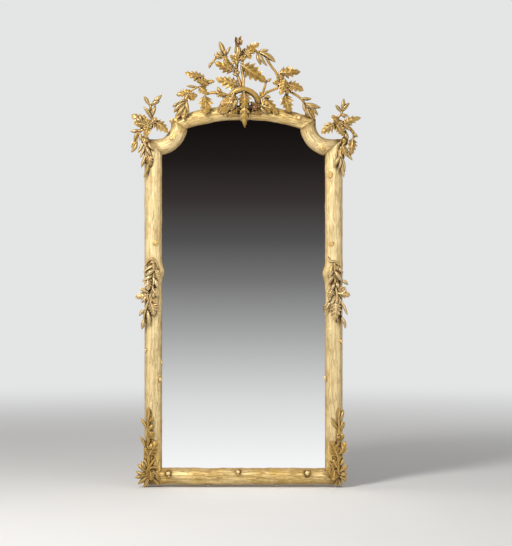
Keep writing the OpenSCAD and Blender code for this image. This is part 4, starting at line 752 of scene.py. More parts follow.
def grain_group():
    """Sawn pine: rings drawn out along the grain, pores, and soot."""
    tree, n, given, out = new_group(
        "Pine Grain", "ShaderNodeTree", {"Vector": "Vector", "Wood": "Color", "Ring": "Color"},
        {"Color": "Color", "Roughness": "Float", "Height": "Float"})
    place = given["Vector"]
    bands = n.shader("TexWave", {
        "Vector": place, "Scale": 8.0, "Distortion": n.ramp(n.noise(place, 3, 3), 0, 1, 3, 19),
        "Detail": 3.0, "Detail Scale": 1.4}, "Fac", bands_direction="Z")
    pores = n.noise(place, 160, 3, 0.7)
    soot = n.noise(place, 2.2, 4)
    ring = n.math("POWER", bands, 2.2)
    colour = n.mix(ring * 0.5, given["Wood"], given["Ring"])
    colour = n.mix(n.ramp(pores, 0.55, 0.8, 0, 0.5), colour, given["Ring"])
    n.give(out, Color=n.mix(n.ramp(soot, 0.45, 0.8, 0, 0.55), colour, (0.05, 0.04, 0.03)),
           Roughness=n.ramp(soot, 0, 1, 0.62, 0.86), Height=ring * 0.6 + pores * 0.4)
    return tree


class Finish:
    """A material with its Principled shader, and the nodes that feed it."""

    def __init__(self, name):
        self.material = bpy.data.materials.new(name)
        self.material.use_nodes = True
        self.n = Nodes(self.material.node_tree)
        self.principled = self.material.node_tree.nodes["Principled BSDF"]
        self.place = self.n.shader("TexCoord", output="Object")

    def feed(self, **values):
        self.n.give(self.principled.inputs, **values)

    def bump(self, height, depth, strength=1.0):
        self.feed(Normal=self.n.shader("Bump", {
            "Height": height, "Strength": strength, "Distance": depth}))

    def value(self, name, output="Fac"):
        """A value stored on the points."""
        return self.n.shader("Attribute", output=output, attribute_name=name)


def gilded(finish, group, settings, **values):
    """The gilding in a finish: its colour, metal, roughness and height."""
    finish.feed(Specular_IOR_Level=0.22)
    return finish.n.group(group, Vector=finish.place, Hollow=finish.value("hollow"), Rose=settings.rose,
                          Bole=settings.bole, Patina=settings.shade, **values)


def gilded_trunk(name, group, settings, pale, grain):
    """Gold on bark with dull gold in the grooves along it, a painted highlight on its crown and painted
    shade on its flanks.
    """
    finish = Finish(name)
    n = finish.n
    # How far along the trunk, and how far round it, in metres
    run = finish.value("run", "Vector")
    crown = finish.value("crown")
    streak = n.drawn_noise(run, (7, 70, 1), 4, 0.62)
    seam = n.drawn_noise(run, (5, 48, 1), 3, 0.6)
    groove = n.ramp(n.math("ABSOLUTE", seam - 0.5), 0.0, 0.035, 1, 0)
    hair = n.drawn_noise(run, (22, 420, 1), 2)
    up = n.shader("SeparateXYZ", {0: finish.place}, "Z")
    # Painted light: the crown's highlight is pale over the middle of the frame, yellower and deeper at its
    # top and foot
    tone = n.mix(n.ramp(up, -0.80, -0.70) * n.ramp(up, 0.93, 0.78), settings.sun, settings.pale)
    lit = n.ramp(crown, 0.3, 1, 0, pale)
    leaf = gilded(finish, group, settings, Gold=n.mix(lit, settings.gold, tone),
                  Pale=n.mix(lit, settings.pale, tone), Dirt=1.0, Rub=0.30, Blush=0.25)
    dark = n.math("MAXIMUM", n.ramp(streak, 0.48, 0.66, 0, grain), groove * (grain + 0.2))
    colour = n.mix(dark, leaf["Color"], settings.streak)
    # Painted shade: the flanks, low on the round, turn towards the streak colour
    finish.feed(Base_Color=n.mix(n.ramp(crown, 0.75, 0, 0, 0.55), colour, settings.streak),
                Metallic=leaf["Metallic"] * 0.62,
                Roughness=leaf["Roughness"] + n.ramp(streak, 0.4, 0.65, 0.08, 0.2))
    finish.bump((1.0 - streak) * 0.8 - groove * 0.35 + hair * 0.15 + leaf["Height"] * 0.5, 0.0035)
    return finish.material


def gilded_carving(name, group, settings, low, high, crown, dirt):
    """Gold on leaves and buds: painted shade where it is cut in, a painted highlight and rubbed gold on the
    raised ribs.
    """
    finish = Finish(name)
    n = finish.n
    leaf = gilded(finish, group, settings, Gold=low, Pale=high, Dirt=dirt, Rub=0.45, Blush=0.5)
    raised = finish.value("raised")
    # Painted highlight, with gold rubbed thin, where the raised value is high
    colour = n.mix(n.ramp(raised, 0.40, 0.95, 0, 0.66), leaf["Color"], crown)
    # Painted shade where the raised value is low, in flutes, notches and grooves
    colour = n.mix(n.ramp(raised, 0.12, -0.6, 0, 0.70), colour, settings.shade)
    worn = finish.value("bare") * n.ramp(n.noise(finish.place, 120, 3), 0.35, 0.6)
    finish.feed(Base_Color=n.mix(worn, colour, settings.bole), Metallic=leaf["Metallic"] * 0.55,
                Roughness=leaf["Roughness"] + 0.02)
    finish.bump(leaf["Height"], 0.0009)
    return finish.material


def pine(name, group, settings, stretch, shift=0.0, tone=1.0):
    """Old pine, its grain drawn out one way; each board is cut from another place and has its own tone."""
    finish = Finish(name)
    drawn = finish.n.vector("ADD", finish.n.vector("MULTIPLY", finish.place, stretch), (0, 0, shift))
    wood = [tone * part for part in settings.pine]
    grain = finish.n.group(group, Vector=drawn, Wood=wood, Ring=settings.ring)
    finish.feed(Base_Color=grain["Color"], Roughness=grain["Roughness"])
    finish.bump(grain["Height"], 0.0006)
    return finish.material


def metal(name, colour, tarnish, rough, scale):
    """Cast or drawn metal with tarnish in clouds and fine scratches."""
    finish = Finish(name)
    n = finish.n
    cloud = n.noise(finish.place, scale, 4, 0.6)
    scratch = n.drawn_noise(finish.place, (900, 900, 120), 2)
    dull = n.ramp(cloud, 0.3, 0.7, rough, rough + 0.22)
    finish.feed(Base_Color=n.mix(n.ramp(cloud, 0.42, 0.68), colour, tarnish), Metallic=1.0,
                Roughness=dull + n.ramp(scratch, 0.3, 0.7, -0.04, 0.04))
    finish.bump(cloud + scratch * 0.3, 0.0002)
    return finish.material


def silvered_plate():
    """Old silvering behind clear glass, a bluish ground edge, and red paint on the back."""
    finish = Finish("Silvered plate")
    n = finish.n
    facing = n.shader("SeparateXYZ", {0: n.shader("TexCoord", output="Normal")}, "Y")
    front = n.ramp(facing, -0.6, -0.8)
    dust = n.noise(finish.place, 26, 5, 0.7)
    fleck = n.ramp(n.noise(finish.place, 340, 3, 0.7), 0.70, 0.80, 0, 0.25)
    silver = n.mix(fleck, (0.93, 0.935, 0.94), (0.55, 0.52, 0.48))
    edged = n.mix(front, (0.32, 0.42, 0.40), silver)
    finish.feed(
        Base_Color=n.mix(n.ramp(facing, 0.6, 0.8), edged, (0.20, 0.045, 0.03)),
        Metallic=front * n.ramp(fleck, 0, 1, 1, 0.7),
        Roughness=n.ramp(front, 0, 1, 0.5, 0.012) + n.ramp(dust, 0.5, 0.8, 0, 0.02))
    finish.bump(n.noise(finish.place, 2.2, 1), 0.0002, 0.15)
    return finish.material


# Gilded trunk

def between(a, b, t):
    """The place between a, where t is 0, and b, where t is 1."""
    return np.asarray(a) + (np.asarray(b) - np.asarray(a)) * t


def along(a, b, s):
    """A row of places between a and b, one for each share in s."""
    return between(a, b, np.asarray(s)[:, None])


def cusp():
    """Where the shoulder's inner circle meets the arch, at the right."""
    across = np.array([RING[0], RING[1] - ARCH_Y])
    d = np.linalg.norm(across)
    a = (ARCH_R ** 2 - RING_IN ** 2 + d * d) / (2 * d)
    h = math.sqrt(ARCH_R ** 2 - a * a)
    u = across / d
    return np.array([a * u[0] - h * u[1], ARCH_Y + a * u[1] + h * u[0]])


def side_top():
    """Ends of the mitre at the top of the right side, from the opening outwards."""
    inner = (SIGHT_HALF_W, RING[1] - math.sqrt(RING_IN ** 2 - NOTCH_OUT ** 2))
    return np.array(inner), np.array((SIGHT_HALF_W + STILE_W, RING[1] - RING_OUT))


def arch_end():
    """Ends of the mitre between the right shoulder and the arch, from the opening outwards."""
    x = RING[0] - RING_OUT
    return cusp(), np.array((x, ARCH_Y + math.sqrt((ARCH_R + ARCH_W) ** 2 - x * x)))


def low_corner(t):
    """The mitre at the foot of the right side, at t across it."""
    return between((SIGHT_HALF_W, -SIGHT_HALF_H), (SIGHT_HALF_W + STILE_W, -SIGHT_HALF_H - RAIL_H), t)


def side_line(t, s):
    """The right side at t across it, from 0 at the opening to 1, and s up it, from 0 to 1."""
    return along(low_corner(t), between(*side_top(), t), s)


def bottom_line(t, s):
    """The bottom at t across it, from the right to the left."""
    corner = low_corner(t)
    return along(corner, (-corner[0], corner[1]), s)


def arch_line(t, s):
    """The arch at t across it, from the right to the left."""
    end = between(*arch_end(), t)
    radius = ARCH_R + ARCH_W * t
    limit = math.atan2(end[0], end[1] - ARCH_Y)
    a = limit * (1 - 2 * np.asarray(s))
    points = np.stack([radius * np.sin(a), ARCH_Y + radius * np.cos(a)], 1)
    return pin_ends(points, s, end, (-end[0], end[1]))


def shoulder_line(t, s):
    """The right shoulder, down from the arch and round to the side: straight, a quarter turn, straight."""
    radius = RING_IN - SHOULDER_W * t
    start = between(*arch_end(), t)
    stop = between(*side_top(), t)
    rise = start[1] - RING[1]
    run = stop[0] - RING[0]
    first = math.asin(min(0, rise) / -radius)
    last = math.asin(min(0, run) / -radius)
    turn = radius * (math.pi / 2 - first - last)
    lengths = np.array([max(0, rise), turn, max(0, run)])
    d = np.asarray(s) * lengths.sum()
    a = math.pi + first + np.clip(d - lengths[0], 0, turn) / radius
    points = np.stack([RING[0] + radius * np.cos(a), RING[1] + radius * np.sin(a)], 1)
    points[:, 1] += np.clip(lengths[0] - d, 0, None)
    points[:, 0] += np.clip(d - lengths[0] - turn, 0, None)
    return pin_ends(points, s, start, stop)


def pin_ends(points, s, start, stop):
    """Draws the ends of a line onto the mitres, fading the shift out over a tenth of its length."""
    s = np.asarray(s)[:, None]
    fade = 0.1
    points = points + (np.asarray(start) - points[0]) * np.clip(1 - s / fade, 0, 1)
    return points + (np.asarray(stop) - points[-1]) * np.clip(1 - (1 - s) / fade, 0, 1)


def rise_of(off, width):
    """Height of the trunk's surface at off from its middle line."""
    half = width / 2
    return TRUNK_FRONT - half + np.sqrt(np.clip(half * half - off * off, 0, None))


def soft_step(t):
    """0 to 1 with a level start and end."""
    t = np.clip(t, 0, 1)
    return t * t * (3 - 2 * t)


# Points round the bark, and how far from a mitre the bark lies still, and its crease is carved away
ROUND_POINTS = 47
STILL = 5
EASED = 42


def trunk_shape(line, width, side, knots, step):
    """A half-round length of trunk between two mitres, swelling round its knots."""
    angles = np.linspace(math.pi, 0, ROUND_POINTS)
    half = width / 2
    offs = np.concatenate([[-half], np.cos(angles) * half, [half]])
    heights = np.concatenate([[TRUNK_BACK], TRUNK_FRONT - half + np.sin(angles) * half, [TRUNK_BACK]])
    length = np.linalg.norm(np.diff(line(0.5, np.linspace(0, 1, 60)), axis=0), axis=1).sum()
    s = np.linspace(0, 1, max(8, int(length / step)))
    tracks = np.stack([line(off / width + 0.5, s) for off in offs], 1)
    out_dir = tracks - tracks[:, len(offs) // 2, None]
    points = np.concatenate([tracks, np.broadcast_to(heights[None, :, None], tracks.shape[:2] + (1,))], 2)
    girth = np.concatenate([[0], np.cumsum(np.hypot(np.diff(offs), np.diff(heights)))])
    run = np.zeros(points.shape)
    run[..., 0] = (s * length)[:, None]
    run[..., 1] = girth
    mitre = np.minimum(s, 1 - s) * length
    free = np.zeros(points.shape[:2])
    free[:, 1:-1] = np.clip(mitre / STILL, 0, 1)[:, None]
    reach = np.linalg.norm(out_dir, axis=2, keepdims=True)
    out_dir = np.where(reach > 1e-6, out_dir / np.maximum(reach, 1e-6), 0)
    tilt = np.concatenate([[0], angles, [math.pi]])
    round_dir = np.zeros(points.shape)
    round_dir[..., :2] = out_dir * np.abs(np.cos(tilt))[:, None]
    round_dir[..., 2] = np.sin(np.concatenate([[0], angles, [0]]))
    # A knot lifts the round of the trunk and leaves its back and its mitres where they are
    for x, y, r, kind in knots:
        lift = knot_lift(points[..., 0] - x, points[..., 1] - y, r, kind) * (free > 0)
        points += round_dir * lift[..., None]
    front = np.clip((np.sin(tilt) - 0.18) / 0.40, 0, 1)
    ease = soft_step(1 - mitre / EASED)[:, None] * front
    points[..., 2] += ease * (eased_height(points[..., 0], points[..., 1]) - points[..., 2])
    points[..., 0] *= side
    return points, run * MM, free


def eased_height(x, y):
    """Height of the trunk with the crease of a mitre smoothed, as the carver leaves it."""
    total = np.zeros(x.shape)
    count = np.zeros(x.shape)
    for reach, spokes in ((0, 1), (7, 6), (14, 12), (21, 18)):
        for k in range(spokes):
            turn = 2 * math.pi * k / spokes
            height = bark_height(x + reach * math.cos(turn), y + reach * math.sin(turn), PAST_MITRE)
            count += height > 0
            total += np.where(height > 0, height, 0)
    return total / np.maximum(count, 1)


def bark_tree():
    """Pushes the trunk's round in and out: long grooves, slow lumps, and short chisel facets."""
    tree, n, given, out = carving_tree("Bark", Ridge="Float", Swell="Float", Seed="Int")
    run = n.named("run", "FLOAT_VECTOR")
    shift = n.shader("CombineXYZ", {2: given["Seed"] * 7.3})
    groove = n.drawn_noise(run, (9, 75, 1), 3, 0.55, shift)
    lump = n.drawn_noise(run, (13, 9, 1), 2, 0.5, shift)
    facet = n.drawn_noise(run, (42, 60, 1), 1, 0.5, shift)
    push = (groove - 0.55) * (given["Ridge"] * 3.4) + (lump - 0.55) * (given["Swell"] * 2.4)
    push = (push + (facet - 0.5) * given["Ridge"]) * n.named("free")
    n.finish(n.push_out(given["Geometry"], push), given["Material"], out)
    return tree


def trunk_piece(name, node, line, width, side, knots, settings, tree, material):
    """The bark of one length of trunk, mirrored where its side is -1."""
    points, run, free = trunk_shape(line, width, side, knots, settings.step / MM)
    shape = Shape("free", "crown")
    crown = np.clip((points[..., 2] - TRUNK_BACK) / (TRUNK_FRONT - TRUNK_BACK), 0, 1)
    shape.add(points, turned_over(tube_faces(*free.shape), side < 0), free=free, crown=crown)
    piece = shape.piece(name, material)
    store(piece.data, "run", run.reshape(-1, 3))
    run_tree(piece, tree, Ridge=settings.ridge, Swell=settings.swell, Seed=settings.seed + len(name),
             Material=material)
    smooth(piece.data, 50)
    seat(piece, "gilded_wood", node)
    return piece


def knot_lift(x, y, r, kind):
    """How far the bark swells round a knot: most of all where a boss is the swelling itself."""
    return (0.62 if kind == BOSS else 0.24) * r * np.exp(-(x * x + y * y) / (1.64 * r * r))


# Rings of a cut stub, from its foot to its top: radius and height as shares of the knot's,
# how far the gold is worn off, and how far the ring stands out, for its painted highlight or shade
STUB_RINGS = np.array([
    (1.40, -0.8, 0, 0.5), (1.36, -0.12, 0.2, 0.5), (1.22, 0.08, 0.5, 0.7), (1.04, 0.10, 0.7, 0.1),
    (0.92, 0.03, 0.9, -0.45), (0.88, 0.24, 0.3, -0.1), (0.82, 0.44, 0, 0.8), (0.68, 0.64, 0, 1),
    (0.48, 0.75, 0, 1), (0.26, 0.80, 0, 1), (0.08, 0.82, 0, 1),
])
STUB_SIDES = 18


def knot_ball(shape, centre, normal, r):
    """A cut stub: a ball on a low worn ring."""
    reach, height, worn, high = STUB_RINGS.T
    u = unit(np.cross(normal, (0.13, 0.97, 0.2)))
    v = np.cross(normal, u)
    a = 2 * math.pi * np.arange(STUB_SIDES) / STUB_SIDES
    wobble = 1 + 0.07 * np.sin(3 * a + centre[1]) + 0.05 * np.sin(5 * a + centre[0])
    ring = wobble[:, None] * (np.cos(a)[:, None] * u + np.sin(a)[:, None] * v)
    points = centre + r * (reach[:, None, None] * ring + height[:, None, None] * normal)
    shape.add(points, tube_faces(len(reach), STUB_SIDES),
              raised=np.repeat(high, STUB_SIDES), bare=np.repeat(worn, STUB_SIDES))


def knot_burr(shape, centre, r, side):
    """A low swirl in the bark, where a branch was cut and grew over."""
    reach = np.linspace(1.30, 0.04, 17)[:, None]
    a = np.linspace(0, 2 * math.pi, 28, endpoint=False)[None, :]
    wobble = 1 + 0.10 * np.sin(2 * a + centre[1]) + 0.05 * np.sin(5 * a + centre[0])
    x = r * reach * wobble * np.cos(a) * 0.9
    y = r * reach * wobble * np.sin(a)
    swirl = np.cos(9.5 * reach - a + 0.5 * np.sin(2 * a))
    edge = soft_step((1.3 - reach) / 0.45)
    relief = edge * (0.22 + 0.06 * swirl) - 0.16 * (1 - edge)
    # Where there is no bark, the burr goes no lower than the edge of the trunk's round
    bark = np.maximum(bark_height(centre[0] + x, centre[1] + y), TRUNK_FRONT - RAIL_H / 2)
    height = bark + knot_lift(x, y, r, BURR) + r * relief
    points = np.stack([side * (centre[0] + x), centre[1] + y, height], 2)
    # The swirl's ridges get a painted highlight and its grooves painted shade through the raised value
    shape.add(points, turned_over(tube_faces(*swirl.shape), side < 0), raised=0.30 + 0.42 * swirl * edge,
              bare=edge * np.clip(-0.9 * swirl, 0, 0.55))


def knot_places(which, knots):
    """The middle and the outward normal of each knot of a length of trunk, and its radius and kind."""
    places = []
    for x, y, r, kind in knots:
        if which in ("left", "right"):
            off, width = x, STILE_W
            middle, level = np.array([STILE_X, y]), np.array([1.0, 0])
        elif which == "bottom":
            off, width = y, RAIL_H
            middle, level = np.array([x, RAIL_Y]), np.array([0, 1.0])
        elif which == "arch":
            off, width = y, ARCH_W
            level = unit(np.array([x, math.sqrt((ARCH_R + ARCH_W / 2) ** 2 - x * x)]))
            middle = np.array([0, ARCH_Y]) + level * (ARCH_R + ARCH_W / 2)
        else:
            spot = RING + SHOULDER_R * np.array([-1, -1]) / math.sqrt(2) + (x, y)
            level = unit(spot - RING)
            off, width = np.linalg.norm(spot - RING) - SHOULDER_R, SHOULDER_W
            middle = RING + level * SHOULDER_R
        lean = np.clip(off / (width / 2), -0.98, 0.98)
        normal = unit(np.array([*(level * lean), math.sqrt(1 - lean * lean)]))
        core = np.array([*middle, TRUNK_FRONT - width / 2])
        places.append((core + normal * width / 2, normal, r, kind))
    return places


# Leaves, buds, stems and pads

# Stands for the height where there is no bark
OFF_TRUNK = -1000
# How far the lengths are carried on past their mitres, to ease the creases
PAST_MITRE = 40
# How far the shoulders reach over their neighbours, so that no gap is left at a mitre
SHOULDER_LAP = 20


def bark_height(x, y, past=0):
    """Height of the bark over the wall at a place on the frame, or OFF_TRUNK.

    Past carries the lengths on past the mitres where the stiles meet the shoulders.
    """
    x = np.abs(x)
    from_ring = np.hypot(x - RING[0], y - RING[1])
    from_arch = np.hypot(x, y - ARCH_Y)
    over = (
        (x - STILE_X, STILE_W, y < RING[1] - RING_OUT + past),
        (y - RAIL_Y, RAIL_H, x < SIGHT_HALF_W + STILE_W),
        (from_ring - SHOULDER_R, SHOULDER_W,
         (x < RING[0] + SHOULDER_LAP + 2 * past) & (y < RING[1] + SHOULDER_LAP)),
        (from_arch - ARCH_R - ARCH_W / 2, ARCH_W, x < RING[0] - RING_OUT),
    )
    return np.max([np.where(here & (np.abs(off) < width / 2), rise_of(off, width), OFF_TRUNK)
                   for off, width, here in over], axis=0)


def clear_of_bark(points, gap):
    """The points' heights, with what would sink into the bark pressed flat just over it."""
    height = points[..., 2]
    low = bark_height(points[..., 0], points[..., 1]) + gap
    return np.where(height < low, low + 0.15 * np.clip(height - low, -12, 0), height)


# Places across a leaf, from one edge to the other
ACROSS = np.array([-1, -0.95, -0.80, -0.60, -0.38, -0.18, -0.06, 0, 0.06, 0.18, 0.38, 0.60, 0.80, 0.95, 1])
# Where the first and the last side lobe end along a leaf, for each number of lobes
LOBE_ENDS = {2: (0.30, 0.58), 3: (0.25, 0.66), 4: (0.20, 0.70)}
# Where a leaf is widest, and how far it stays over the bark
WIDEST = 0.42
LEAF_GAP = 3.5
# The end lobe: how far along it, half width against the last notch, and fold
END_LOBE = ((0.12, 1.12, -0.5), (0.26, 1.30, 0.2), (0.40, 1.32, 0.7), (0.56, 1.08, 0.8), (0.72, 0.72, 0.6),
            (0.88, 0.32, 0.3), (1, 0.03, 0))


def leaf_width(at):
    """Half width that a leaf's lobes reach at a place along it, as a share of the widest."""
    if at < WIDEST:
        return 0.40 + 0.60 * math.sin(math.pi / 2 * at / WIDEST)
    return 1 - ((at - WIDEST) / (1 - WIDEST)) ** 1.55


def leaf_lines(lobes, lean, notch):
    """Lines from the rib to the edge, from stalk to tip: [rib, edge, half width, fold].

    A fold is 1 on the vein of a lobe and -1 on the line that runs in from a notch.
    """
    tips = np.linspace(*LOBE_ENDS[lobes], lobes)
    gap = tips[1] - tips[0]
    lines = [[0, 0, 0.07, 0], [0.05, 0.05, 0.08, 0]]
    start = np.array([0.07, 0.08, 0.12, -0.4])
    for tip in tips:
        reach = leaf_width(tip)
        vein = np.array([max(tip - lean * reach, 0.45 * tip), tip, reach, 1])
        for f in (0.16, 0.40, 0.64, 0.84):
            line = start + (vein - start) * f
            line[2] += 0.02 * reach * math.sin(math.pi * f)
            line[3] = -math.cos(math.pi * f)
            lines.append(line)
        lines.append(vein)
        cut = tip + 0.16 * gap
        start = np.array([0.5 * (vein[0] + max(tip + gap - lean * reach, 0.45 * (tip + gap))), cut,
                          notch * leaf_width(cut), -1])
        lines.append(vein + (start - vein) * (0.50, 0.50, 0.62, 0.50))
        lines.append(start)
    for f, half, fold in END_LOBE:
        rib = start[0] + (1 - start[0]) * f ** 0.8
        lines.append([rib, start[1] + (1 - start[1]) * f, start[2] * half, fold])
    return np.array(lines, float)


def leaf_mesh(shape, row, at, look, settings):
    """One carved leaf as a closed shell: lobed, folded along its veins, cupped and curled."""
    base, tip = placed(at, row[0:3]), placed(at, row[3:6])
    wide = row[6] / 2
    length = np.linalg.norm(tip - base)
    forward = (tip - base) / length
    level = unit(np.array([-forward[1], forward[0], 0]))
    roll = math.radians(row[7])
    side = level * math.cos(roll) + np.array([0, 0, math.sin(roll)])
    face = np.cross(forward, side)
    lines = leaf_lines(look["lobes"], look["lean"] * wide / length, settings.notch)
    rib_at, edge_at, half, fold = lines.T[:, :, None]
    v = ACROSS[None, :]
    out = np.abs(v)
    hand = np.where(v > 0, 1 + look["skew"], 1 - look["skew"])
    u = rib_at + (edge_at - rib_at) * out ** 0.85
    span = half * out
    across = v * half * wide * hand
    # What raises the face: the rib, a pleat and a vein to each lobe, drooping sides and a wavy edge
    rib = 0.12 * wide * np.exp(-(across / (1.2 + 0.045 * wide)) ** 2) * (1 - 0.75 * u)
    swell = np.sin(math.pi * np.clip(out * 0.9 + 0.05, 0, 1)) ** 0.7
    pleat = np.where(fold > 0, 0.045, 0.060) * wide * fold * swell * np.clip(out * 3, 0, 1)
    vein = 0.030 * wide * np.clip(fold - 0.80, 0, 1) * 5 * np.clip(out * 5, 0, 1) * (1 - 0.6 * out)
    droop = -look["droop"] * wide * span ** 1.8
    flip = look["flip"] * wide * np.clip(span - 0.5, 0, 1) ** 1.5 * np.clip(fold + 0.6, 0, 1.4)
    wave = look["wave"] * wide * np.sin(6.5 * u + 2 * v + look["phase"]) * out
    relief = rib + pleat + vein + droop + flip + wave
    # What bends the whole leaf, out from the wall and sideways
    bulge = length * (0.10 * 4 * u * (1 - u) + look["curl"] * np.clip(u - 0.55, 0, 1) ** 2 * 2.5)
    bow = look["bow"] * length * 4 * u * (1 - u)
    middle = base + forward * (u * length)[..., None] + side * across[..., None]
    middle = middle + np.array([0, 0, 1.0]) * bulge[..., None] + level * bow[..., None]
    front = middle + face * relief[..., None]
    front[..., 2] = clear_of_bark(front, LEAF_GAP)
    edge = settings.edge / MM
    thick = edge + (settings.body / MM - edge) * (1 - out) ** 1.5
    thick = thick * np.clip(wide / 30, 0.55, 1.3) * np.clip((1 - u) * 6, 0.4, 1)
    plain = rib * 0.3 + droop + flip + wave
    back = middle + face * (np.minimum(plain, relief) - thick)[..., None]
    back[..., 2] = np.minimum(back[..., 2], front[..., 2] - edge)
    # Raised: high on the rib, the lobes' veins and the rim for a painted highlight, low on the notch lines
    # for painted shade
    high = np.clip(1.3 * rib / (0.12 * wide) + 0.4 * fold * out + 0.7 * (out > 0.9) - 0.30, -0.8, 1)
    add_shell(shape, front, back, high, look["bare"])


def placed(at, point):
    """A point of a carving, or a row of them, set out from the carving's place."""
    return np.array([at[0], at[1], 0]) + np.asarray(point, float)


def add_shell(shape, front, back, raised, bare):
    """Adds a front and a back sheet of the same grid, closed round their rim."""
    rows, cols = front.shape[:2]
    size = rows * cols
    faces = sheet_faces(rows, cols)
    faces += [tuple(size + i for i in face) for face in turned_over(faces)]
    loop = [(i, 0) for i in range(rows)] + [(rows - 1, j) for j in range(1, cols)]
    loop += [(i, cols - 1) for i in range(rows - 2, -1, -1)] + [(0, j) for j in range(cols - 2, 0, -1)]
    ring = [i * cols + j for i, j in loop]
    for a, b in zip(ring, ring[1:] + ring[:1]):
        faces.append((b, a, size + a, size + b))
    high = np.stack([np.broadcast_to(raised, (rows, cols)), np.zeros((rows, cols))])
    shape.add(np.stack([front, back]), faces, raised=high, bare=bare)


def leaf_look(row, rng):
    """A leaf's lobes from its length, and small differences that a carver leaves."""
    length = math.dist(row[0:3], row[3:6])
    return {
        "lobes": 2 if length < 50 else 3 if length < 128 else 4,
        "lean": 0.65 + 0.25 * rng.random(),
        "droop": 0.26 + 0.20 * rng.random(),
        "flip": 0.32 * rng.random(),
        "curl": 0.30 * (rng.random() - 0.6),
        "skew": 0.14 * (rng.random() - 0.5),
        "bow": 0.12 * (rng.random() - 0.5),
        "wave": 0.05 + 0.05 * rng.random(),
        "phase": 6.3 * rng.random(),
        "bare": 0.45 * max(0, rng.random() - 0.6),
    }


PETAL_THICKNESS = 2.2
BUTTON_SIDES = 8


def floret_mesh(shape, row, at):
    """A small open flower: pointed petals, dished and turned up at the ends, round a button."""
    centre = placed(at, row[0:3])
    axis = unit(np.array(row[3:6], float))
    u = unit(np.cross(axis, (0.3, 0.1, -1)))
    v = np.cross(axis, u)
    reach, petals = row[6], row[7]
    steps = np.linspace(0, 1, 9)
    across = np.array([-1, -0.6, 0, 0.6, 1])
    for k in range(petals):
        a = 2 * math.pi * (k + 0.12 * math.sin(5 * k)) / petals
        ray = math.cos(a) * u + math.sin(a) * v
        side = np.cross(axis, ray)
        size = reach * (0.86 + 0.14 * math.cos(2.3 * k + 1))
        half = size * 0.34 * np.sin(math.pi * steps ** 0.72) ** 0.8 + 0.3
        lift = size * (0.55 * steps ** 2 - 0.28 * np.sin(math.pi * steps))
        front = centre + ray * (steps * size)[:, None, None] + axis * lift[:, None, None]
        front = front + side * (half[:, None] * across)[..., None]
        front = front + axis * (0.28 * half[:, None] * np.abs(across) ** 1.6)[..., None]
        add_shell(shape, front, front - axis * PETAL_THICKNESS, 0.4, 0.75)
    button = []
    tilts = (0.25, 0.7, 1.15, 1.6)
    for tilt in tilts:
        for j in range(BUTTON_SIDES):
            turn = 2 * math.pi * j / BUTTON_SIDES
            round_ray = math.cos(turn) * u + math.sin(turn) * v
            button.append(centre + 0.20 * reach * (
                math.sin(tilt) * round_ray + 1.2 * math.cos(tilt) * axis))
    # The button is raised, for a painted highlight
    shape.add(button, turned_over(tube_faces(len(tilts), BUTTON_SIDES)), raised=0.8, bare=0.55)


# A bud's rings and ribs, its radius in the flutes as a share of that on the ribs, and how far it
# stays over the bark as a share of its radius
BUD_RINGS = 15
BUD_RIBS = 6
FLUTE = 0.74
BUD_GAP = 0.45


def bud_tree():
    """A closed bud on each point: ribbed, pointed, turned along its own direction."""
    tree, n, given, out = carving_tree("Buds", Belly="Float")
    belly = given["Belly"]
    line = n.geometry("CurvePrimitiveLine", {"Start": (0, 0, 0), "End": (0, 0, 1)})
    spine = n.geometry("ResampleCurve", {"Curve": line, "Count": BUD_RINGS})
    place = n.geometry("SplineParameter", output="Factor")
    rising = n.math("DIVIDE", place, belly, clamp=True)
    falling = n.math("DIVIDE", place - belly, 1.0 - belly, clamp=True)
    widening = 0.34 + 0.66 * n.math("SINE", rising * (math.pi / 2))
    narrowing = n.math("POWER", 1.0 - n.math("POWER", falling, 1.8), 0.72)
    twisted = n.geometry("SetCurveTilt", {"Curve": spine, "Tilt": place * 0.5})
    star = n.geometry("CurveStar", {"Points": BUD_RIBS, "Inner Radius": FLUTE, "Outer Radius": 1.0})
    ribbed = n.geometry("StoreNamedAttribute", {
        "Geometry": star, "Name": "rib", "Value": n.vector("LENGTH", n.geometry("InputPosition"))},
        data_type="FLOAT")
    straight = n.geometry("CurveToMesh", {
        "Curve": twisted, "Profile Curve": ribbed, "Scale": widening * n.math("MAXIMUM", narrowing, 0.05),
        "Fill Caps": True})
    up = n.shader("SeparateXYZ", {0: n.geometry("InputPosition")}, "Z")
    bend = n.shader("CombineXYZ", {0: up * (1.0 - up) * 2.2})
    bud = n.geometry("SetPosition", {"Geometry": straight, "Offset": bend})
    spin = n.function("RandomValue", {"Max": (0, 0, 6.3), "Seed": 3}, "Value", data_type="FLOAT_VECTOR")
    turn = n.function("AlignRotationToVector", {
        "Rotation": spin, "Vector": n.named("aim", "FLOAT_VECTOR")}, axis="Z")
    buds = n.geometry("InstanceOnPoints", {
        "Points": given["Geometry"], "Instance": bud, "Rotation": turn,
        "Scale": n.named("size", "FLOAT_VECTOR")})
    n.finish(buds, given["Material"], out)
    return tree


